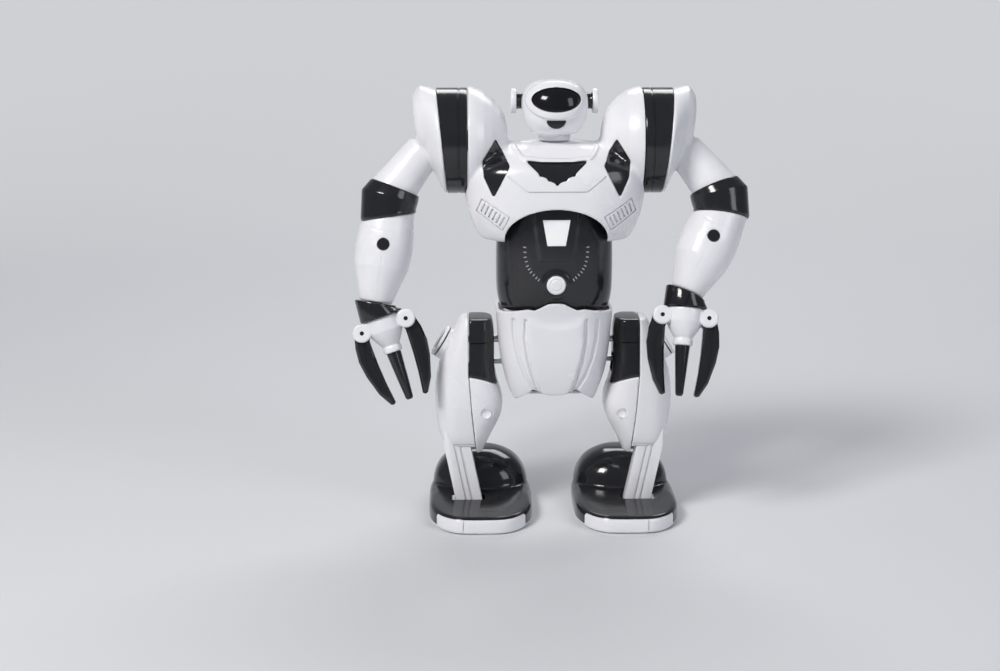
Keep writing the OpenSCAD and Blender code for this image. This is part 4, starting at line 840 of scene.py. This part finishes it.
# Forearms: white barrels that turn on the elbow's spigot, each moulded as two halves that meet
# in a scored seam. A black plug hides the screw in front.
barrel_profile = (
    (0, 8), (13.6, 8), (14.1, 7.4), (14.3, 0), (15.6, -9), (16.3, -17), (15.4, -28), (12.2, -38), (10.2, -44.5),
    (9.6, -47), (9.4, -47.8), (9, -48), (0, -48))
barrel_core = ((0, -7.5), (13.6, -7.5), (14.3, -17), (13.3, -28), (10, -38), (8, -44.9), (0, -44.9))
elbow_spigot = ((0, -2), (5, -2), (5, 4.4), (6.8, 4.4), (6.8, 6.4), (0, 6.4))
plug_profile = ((0, 16.3), (1.6, 16.35), (2.8, 16.2), (3.3, 15.7), (3.3, 11), (0, 11))
front_way = {"left": 1, "right": -1}
forearm_twist = {"left": 180, "right": 0}
forearm_tilt = lean(-17)
plug_z = -15.5
score_w, score_depth = 0.65, 0.6
for side, twist in forearm_twist.items():
    barrel = turned("barrel", barrel_profile, steps=96)
    soften(barrel, 0.6, 3)
    front = front_way[side]
    for line in ([(front * 0.6, -21), (front * 0.6, -47)], [(-15, -6.4), (-5, -8.6), (5, -8.2), (15, -5)]):
        groove = blade(line, score_w, (front * 4, front * 30))
        carve(groove, turned("core", [(max(r - score_depth, 0), z) for r, z in barrel_profile], steps=96))
        carve(barrel, groove)
    carve(barrel, rod("Y", (0, 0, plug_z), 3.5, sorted((front * 12, front * 30))))
    carve(barrel, turned("core", barrel_core, steps=64))
    put(barrel, forearm_tilt)
    carve(barrel, slab((-60, 60), (-60, 60), (-0.35, 40)))
    carve(barrel, turned("spigot", elbow_spigot), "UNION")
    carve(barrel, put(rod("Z", (0, 0, 0), 4.3, (-60, -40)), forearm_tilt))
    soften(barrel, 0.42, 2)
    forearm_at = arm_at[side] @ elbow @ lean(twist, "Z")
    settle(barrel, f"forearm_moulding_{side}", f"forearm_{side}", white_plastic, "white_plastic",
           f"forearm_shell_{side}", place=forearm_at)
    plug = turned("plug", plug_profile, "Y", (0, 0, plug_z))
    settle(plug, f"forearm_plug_{side}", f"forearm_{side}", black_plastic, "black_plastic",
           place=forearm_at @ forearm_tilt @ Matrix.Scale(front, 4, (0, 1, 0)))

# Hands: a black cuff snaps into the forearm and carries a white palm. Two hooked fingers turn on
# pins between the palm's ears, and a straight one is pressed into its collar.
wrist_at = {side: arm_at[side] @ elbow @ lean(twist, "Z") @ forearm_tilt @ move(0, 0, -48)
            for side, twist in forearm_twist.items()}
hand_bend = {"left": 20, "right": 28}
cuff_peg = ((0, -1), (4, -1), (4, 3.3), (5.6, 3.3), (5.6, 5.1), (0, 5.1))
for side, bend in hand_bend.items():
    still, bent = Matrix.Identity(4), lean(bend)
    cuff = hoop_skin("cuff", [(still, -0.4, 11.1), (still, -0.7, 11.6), (still, -1.4, 11.8), (bent, -8, 12.2),
                              (bent, -8.7, 12.1), (bent, -9, 11.7)])
    front = front_way[side]
    carve(cuff, slab((-front * 1.4 - 0.25, -front * 1.4 + 0.25), sorted((front * 11.3, front * 20)), (-20, 5)))
    carve(cuff, turned("peg", cuff_peg), "UNION")
    settle(cuff, f"wrist_band_{side}", f"hand_{side}", black_plastic, "black_plastic", f"wrist_cuff_{side}",
           place=wrist_at[side])

knuckle_x, knuckle_z, ear_in = 13.0, -14.2, 3.9
palm_profile = ((0, -9.1), (9.9, -9.1), (10.4, -9.5), (10.4, -12), (10, -17), (8.4, -20.6), (6.4, -24), (5, -25.8),
                (5, -26.4), (5.5, -26.8), (5.5, -29.4), (5.1, -30), (0, -30))
knuckle_profile = ((0, -6.9), (4.5, -6.9), (5.3, -6.3), (5.3, 6.3), (4.5, 6.9), (0, 6.9))
palm = turned("palm", palm_profile, steps=80)
for x in (-knuckle_x, knuckle_x):
    carve(palm, turned("knuckle", knuckle_profile, "Y", (x, 0, knuckle_z), steps=56), "UNION")
carve(palm, slab((-knuckle_x, knuckle_x), (-6.6, 6.6), (knuckle_z - 2, knuckle_z + 4.5)), "UNION")
soften(palm, 0.4, 4)
for x in (-knuckle_x, knuckle_x):
    carve(palm, rod("Y", (x, 0, knuckle_z), 5.6, (-ear_in, ear_in)))
    carve(palm, slab(sorted((x, x * 2.6)), (-ear_in, ear_in), (knuckle_z - 25, knuckle_z + 9)))
    carve(palm, rod("Y", (x, 0, knuckle_z), 1.5, (-5, 5), steps=24), "UNION")
    for y in ((-8, -6.1), (6.1, 8)):
        carve(palm, rod("Y", (x, 0, knuckle_z), 1.25, y, steps=24))
carve(palm, rod("Z", (0, 0, 0), 3, (-31, -25)))

claw_back = [(-4.5, -0.8), (-2.3, -6), (-2.4, -12), (-2.6, -20), (-3.4, -31), (-4.9, -43)]
claw_front = [(-3.6, -44), (-2, -43.5), (2.4, -36), (6, -24), (7.3, -15), (6.6, -7)]
eye = [(4.6 * math.cos(a), 4.6 * math.sin(a)) for a in (math.radians(20 + 15 * i) for i in range(12))]
claw = prism("claw", [*eye, *claw_back, *claw_front], (-3.5, 3.5))
round_edges(claw, 1.5, 1, 60)
round_edges(claw, 0.22, 2, 25)
carve(claw, rod("Y", (0, 0, 0), 1.8, (-20, 20), steps=32))
channel = [(1.1, -8), (3.1, -14), (3, -22), (1.2, -32)]
channel += [(x - 0.5, z) for x, z in reversed(channel)]
for flank in (-2.4, 2.4):
    carve(claw, prism("groove", channel, sorted((flank * 1.3, flank * 3))))
spike_profile = (
    (0, -26), (2.85, -26), (2.85, -30.1), (4.2, -30.1), (4.25, -31), (2.3, -57), (1.6, -58.1), (0, -58.2))
spike = turned("spike", spike_profile, steps=10)
round_edges(spike, 0.25, 2, 20)
pin_cap = turned("pin_cap", ((0, -6.3), (1.2, -6.3), (1.2, -6), (0, -6)), "Y", (knuckle_x, 0, knuckle_z), steps=24)
pin_cap = joined(pin_cap, mirrored(pin_cap, "other_cap"))
inner_way = front_way
for side, bend in hand_bend.items():
    hand_at = wrist_at[side] @ lean(bend)
    settle(twin(palm, "copy"), f"palm_moulding_{side}", f"hand_{side}", white_plastic, "white_plastic",
           f"palm_{side}", place=hand_at)
    settle(twin(spike, "copy"), f"finger_spike_{side}", f"hand_{side}", black_plastic, "black_plastic",
           f"finger_middle_{side}", place=hand_at, crease=25)
    for y_way, face in ((1, "front"), (-1, "back")):
        settle(twin(pin_cap, "copy"), f"pin_heads_{face}_{side}", f"hand_{side}", black_plastic, "black_plastic",
               place=hand_at @ Matrix.Scale(y_way, 4, (0, 1, 0)))
    for reach, way in (("inner", inner_way[side]), ("outer", -inner_way[side])):
        settle(twin(claw, "copy"), f"finger_{reach}_claw_{side}", f"finger_{reach}_{side}", black_plastic,
               "black_plastic", f"finger_{reach}_{side}", crease=25,
               place=hand_at @ Matrix.Scale(way, 4, (1, 0, 0)) @ move(knuckle_x, 0, knuckle_z))
for original in (palm, spike, claw, pin_cap):
    bpy.data.objects.remove(original)

# Legs: each is a white outer shell and a white inner shell that meet in a slanting seam, screwed
# together round the ankle bar, with a black block at the hip that hangs on the axle.
leg_at = {"left": Matrix.Identity(4), "right": flip}
leg_stations = (
    (36.4, 7, 17, 10), (37.4, 6.4, 20, 11.6), (42, 4.6, 29.8, 15.6), (50, 0.6, 32.3, 17.2), (60, -4.9, 33.6, 18.8),
    (70, -5.3, 34.4, 19.3), (80, -0.9, 33.7, 18.7), (90, -0.1, 31.4, 17.2), (100, -0.1, 26.8, 15.7),
    (110, 0.1, 22.4, 14.2), (115, 1.1, 19.5, 12.6), (116, 1.5, 18.9, 12))
leg_x, leg_cy = 34.0, -1.0
seam = [(48.6, 84), (47.1, 64), (44.8, 41.6), (44.4, 36)]
knee_line = [(24, 64), (28.4, 71.9), (32.4, 77.3), (38.6, 80.9), (44, 82.6), (49.4, 83.4)]
bar_y, bar_half, bar_w = -11.0, 4.5, 15.1
bar_foot, bar_top, bar_low, bar_high = 40.7, 47.8, 7.0, 41.5


def leg_solid(name, inset):
    """The whole leg as one block, from stations of height, near side, far side and half depth."""
    rings = [(z, leg_x + (near + far) / 2, leg_cy, (far - near) / 2 - inset, d - inset)
             for z, near, far, d in leg_stations]
    if inset:
        rings = rings[2:-1]
    return ring_body(name, rings, corner=0.7)


def bar_solid(name, grow):
    drop = 10 * (bar_top - bar_foot) / (bar_high - bar_low)
    left = [(bar_foot - drop, bar_low - 10), (bar_top, bar_high), (bar_top, bar_high + 10)]
    outline = [*[(x - grow, z) for x, z in left], *[(x + bar_w + grow, z) for x, z in reversed(left)]]
    bar = prism(name, outline, (bar_y - bar_half - grow, bar_y + bar_half + grow))
    round_end = rod("X", (0, bar_y, bar_low), bar_half + grow, (20, 80), steps=48)
    carve(round_end, slab((20, 80), (bar_y - bar_half - grow, bar_y + bar_half + grow), (bar_low, 60)), "UNION")
    carve(bar, round_end, "INTERSECT")
    return bar


leg_form = leg_solid("leg_form", 0)
leg_hollow = leg_solid("leg_hollow", wall)
outer_zone = [(48.75, 130), *[(x + 0.15, z) for x, z in seam], (44.5, 30), (90, 30), (90, 130)]
inner_zone = [*knee_line[:-1], (48.45, 83.2), *[(x - 0.15, z) for x, z in seam], (44.2, 20), (10, 20), (10, 64)]
hip_zone = [(10, 130), (10, 64.4), *[(x, z + 0.35) for x, z in knee_line], (48.4, 84), (48.4, 130)]

outer = twin(leg_form, "outer")
carve(outer, prism("zone", outer_zone, (-60, 60)), "INTERSECT")
carve(outer, slab((-10, 90), (-60, 60), (20, 41.4)))
soften(outer, 0.6, 4)
scribe(outer, leg_form, [[(40, 43.6), (70, 43.2)]], width=0.5, depth=0.5, span=(-60, 60))
disc_at = move(60, -1, 98.5) @ lean(58)
disc_profile = ((0, 5.7), (6.2, 5.7), (6.6, 6.4), (8.7, 6.5), (9.3, 6.2), (9.5, 5.6), (9.5, 5.1), (8.6, 4.9),
                (8.6, 4.3), (9.5, 4.1), (9.5, 0), (0, 0))
carve(outer, put(turned("disc", disc_profile, steps=72), disc_at), "UNION")
carve(outer, leg_hollow, keep=True)
handed(outer, "leg_outer_moulding", "leg", white_plastic, "white_plastic", "leg_outer_shell", sides=leg_at)
disc_ring = turned("disc_ring", ((8.7, 4.4), (9.2, 4.4), (9.2, 4.8), (8.7, 4.8), (8.7, 4.4)), steps=72)
handed(put(disc_ring, disc_at), "hip_disc_ring", "leg", black_plastic, "black_plastic", sides=leg_at)
disc_plate = turned("disc_plate", ((0, 6.3), (4.2, 6.25), (5.6, 6), (6.0, 5.8), (6.0, 5.5), (0, 5.5)), steps=64)
handed(put(disc_plate, disc_at), "hip_disc_plate", "leg", grey_plastic, "grey_plastic", sides=leg_at)

leg_screw_at = (38.5, 0, 62.0)
inner = twin(leg_form, "inner")
carve(inner, prism("zone", inner_zone, (-60, 60)), "INTERSECT")
soften(inner, 0.6, 4)
carve(inner, leg_hollow)
carve(inner, rod("Y", leg_screw_at, 4.2, (-17, -13)), "UNION")
dimple_profile = ((0, -30), (3.6, -30), (3.6, -19.6), (2.8, -18.9), (2.8, -16), (0, -16))
carve(inner, turned("dimple", dimple_profile, "Y", leg_screw_at))
carve(inner, rod("Y", leg_screw_at, 1.6, (-30, 0), steps=24))
carve(inner, bar_solid("bar_seat", 0.12))
handed(inner, "leg_inner_moulding", "leg", white_plastic, "white_plastic", "leg_inner_shell", sides=leg_at)
cap_profile = ((0, -18.2), (1, -18.2), (2, -18.6), (2.5, -19), (2.7, -18.9), (2.7, -17.6), (0, -17.6))
cap = turned("cap", cap_profile, "Y", leg_screw_at)
handed(cap, "leg_screw_cap", "leg", white_plastic, "white_plastic", sides=leg_at)

hip = leg_form
carve(hip, prism("zone", hip_zone, (-60, 60)), "INTERSECT")
soften(hip, 0.6, 3)
carve(hip, rod("X", axle_at, axle_bore, (20, 60)))
carve(hip, slab((20, 40.4), (-7.7, 7.7), (83.7, 95.1)))
carve(hip, slab((20, 48), (-40, -13.4), (102.4, 102.9)))
hip_screw_at = (41.5, 0, 108.5)
carve(hip, rod("Y", hip_screw_at, 2.7, (9, 60)))
carve(hip, rod("Y", hip_screw_at, 1.5, (-1, 60), steps=24))
handed(hip, "hip_block_moulding", "leg", black_plastic, "black_plastic", "hip_block", sides=leg_at)

bar = bar_solid("bar", 0)
slope = (bar_top - bar_foot) / (bar_high - bar_low)
groove_w, groove_depth = 1.1, 0.8
for along in (0.38, 0.6):
    x = bar_foot + bar_w * along
    groove = [(x - 12 * slope, bar_low - 12), (x + 40 * slope, bar_low + 40)]
    carve(bar, blade(groove, groove_w, (-30, bar_y - bar_half + groove_depth)))
round_edges(bar, 0.35, 2, 50)
carve(bar, rod("X", (0, bar_y, bar_low), 1.8, (20, 80), steps=32))
handed(bar, "ankle_bar_moulding", "leg", white_plastic, "white_plastic", "ankle_bar", sides=leg_at)

# Feet: a glossy black upper with a high dome over the rollers, snapped on to a white sole that
# ends in a toe cap. The ankle bar hangs on a pin between two cheeks of the sole.
foot_x = 42.0
low_rings = ((0, 0, 29, 49), (0.6, 0, 29.7, 49.7), (2.2, 0, 30, 50), (7.4, 0, 30, 50), (9.3, 0.3, 29.5, 49.3),
             (10.6, 0.8, 28.2, 47.8), (11.4, 1.6, 26, 44.6), (11.6, 2, 24, 42))
dome_rings = ((7, 24, 28, 24), (9, 24, 28.2, 24.2), (16, 24, 27.4, 23.8), (22, 24, 24.6, 21.4), (27, 24, 19.6, 17),
              (30.3, 24, 12.6, 11), (31.6, 24, 7.5, 6.6))
deck_line = [(-0.6, 11.5), (-16, 10.8), (-36, 10.1), (-60, 9.7), (-60, 30), (-0.6, 30)]
toe_zone = [(foot_x - 26.9, -3), (foot_x - 26.9, 5.8), (foot_x - 26, 7.6), (foot_x - 24, 8.5), (90, 8.5), (90, -3)]


def foot_solid(name, rings, inset, corner):
    return ring_body(name, [(z, foot_x, y, w - inset, d - inset) for z, y, w, d in rings], corner=corner)


upper = foot_solid("upper", low_rings, 0, 0.7)
sole = twin(upper, "sole")
carve(upper, foot_solid("dome", dome_rings, 0, 0.83), "UNION")
deck = put(prism("deck", deck_line, (-90, 0)), lean(90, "Z"))
carve(upper, deck, keep=True)
soften(upper, 0.7, 5)
ease(upper, lambda co: 8.7 < co.z < 16 and -5 < co.y < 4, 24)
low_core = foot_solid("low_core", [(z - wall, y, w, d) for z, y, w, d in low_rings], wall, 0.7)
carve(low_core, put(deck, move(0, 0, -wall)))
carve(upper, low_core)
carve(upper, foot_solid("dome_core", [(z - wall, y, w, d) for z, y, w, d in dome_rings], wall, 0.83))
carve(upper, slab((0, 90), (-60, 60), (-5, 2.1)))
carve(upper, prism("toe", [(x - 0.15, z + 0.15 * (z > 0)) for x, z in toe_zone], (-80, -35.85)))
carve(upper, slab((bar_foot - 1.2, bar_foot + bar_w + 2.8), (bar_y - 6.7, bar_y + 6.7), (4, 40)))
handed(upper, "foot_upper_moulding", "foot", black_plastic, "black_plastic", "foot_upper", sides=leg_at)

kept = slab((0, 90), (-60, 60), (-1, 2))
carve(kept, prism("toe", toe_zone, (-80, -36)), "UNION")
carve(sole, kept, "INTERSECT")
soften(sole, 0.6, 3)
carve(sole, slab((foot_x + 9.7, foot_x + 10.3), (-60, -48.6), (2.2, 9)))
roller_y, roller_z = 20.0, 7.0
cheek_gap = 0.3 + slope * bar_half
pin_span = (bar_foot - cheek_gap - 3, bar_foot + bar_w + cheek_gap + 3)
for x in (pin_span[0], pin_span[1] - 3):
    carve(sole, slab((x, x + 3), (bar_y - 4, bar_y + 4), (1.5, bar_low + 3.2)), "UNION")
for x in (foot_x - 9, foot_x + 9):
    carve(sole, slab((x - 2, x + 2), (roller_y - 4, roller_y + 4), (1.5, roller_z + 3.5)), "UNION")
for x in (foot_x - 17, foot_x + 17):
    carve(sole, slab((x - 5, x + 5), (roller_y - 7.7, roller_y + 7.7), (-1, 3)))
carve(sole, rod("X", (0, roller_y, roller_z), 1.8, (foot_x - 30, foot_x + 30), steps=24))
carve(sole, rod("X", (0, bar_y, bar_low), 1.5, pin_span, steps=24), "UNION")
handed(sole, "foot_sole_moulding", "foot", white_plastic, "white_plastic", "foot_sole", sides=leg_at)

# Works inside: pieces that keep their built shape and are seen through the openings, or when a cover
# is off. Frame and boxes are moulded, gears are nylon, shafts and screws are plated steel.
steel = moulded("steel", (0.55, 0.56, 0.58), (0.42, 0.43, 0.46), gloss=0.28, grain=700, Metallic=1.0)
nylon = moulded(
    "nylon", (0.78, 0.77, 0.72), (0.7, 0.69, 0.64), gloss=0.42, Subsurface_Weight=0.1, Subsurface_Scale=0.002)
rubber = moulded("rubber", (0.022, 0.022, 0.024), (0.04, 0.04, 0.042), gloss=0.75, grain=500, peel_depth=0.2)
board_green = moulded("circuit_board", (0.012, 0.11, 0.045), (0.02, 0.17, 0.07), gloss=0.3, grain=260)
cell_jacket = moulded("cell_jacket", (0.05, 0.07, 0.11), (0.09, 0.11, 0.15), gloss=0.25, grain=180)
inside = {
    steel: ("motor", "hip_axle", "body_screws", "crankshaft", "leg_screws_left", "leg_screws_right"),
    nylon: ("motor_pinion", "reduction_gear"),
    rubber: ("foot_rollers_left", "foot_rollers_right"),
    grey_plastic: ("pelvis_frame", "battery_box", "speaker"),
    board_green: ("circuit_board",),
    cell_jacket: ("battery_cells",),
    # The eye lamps take the milky lens finish, and with it its faint painted glow.
    milky_lens: ("eye_leds",)}
for finish, names in inside.items():
    for name in names:
        for place in nodes[name].material_slots:
            place.material = finish
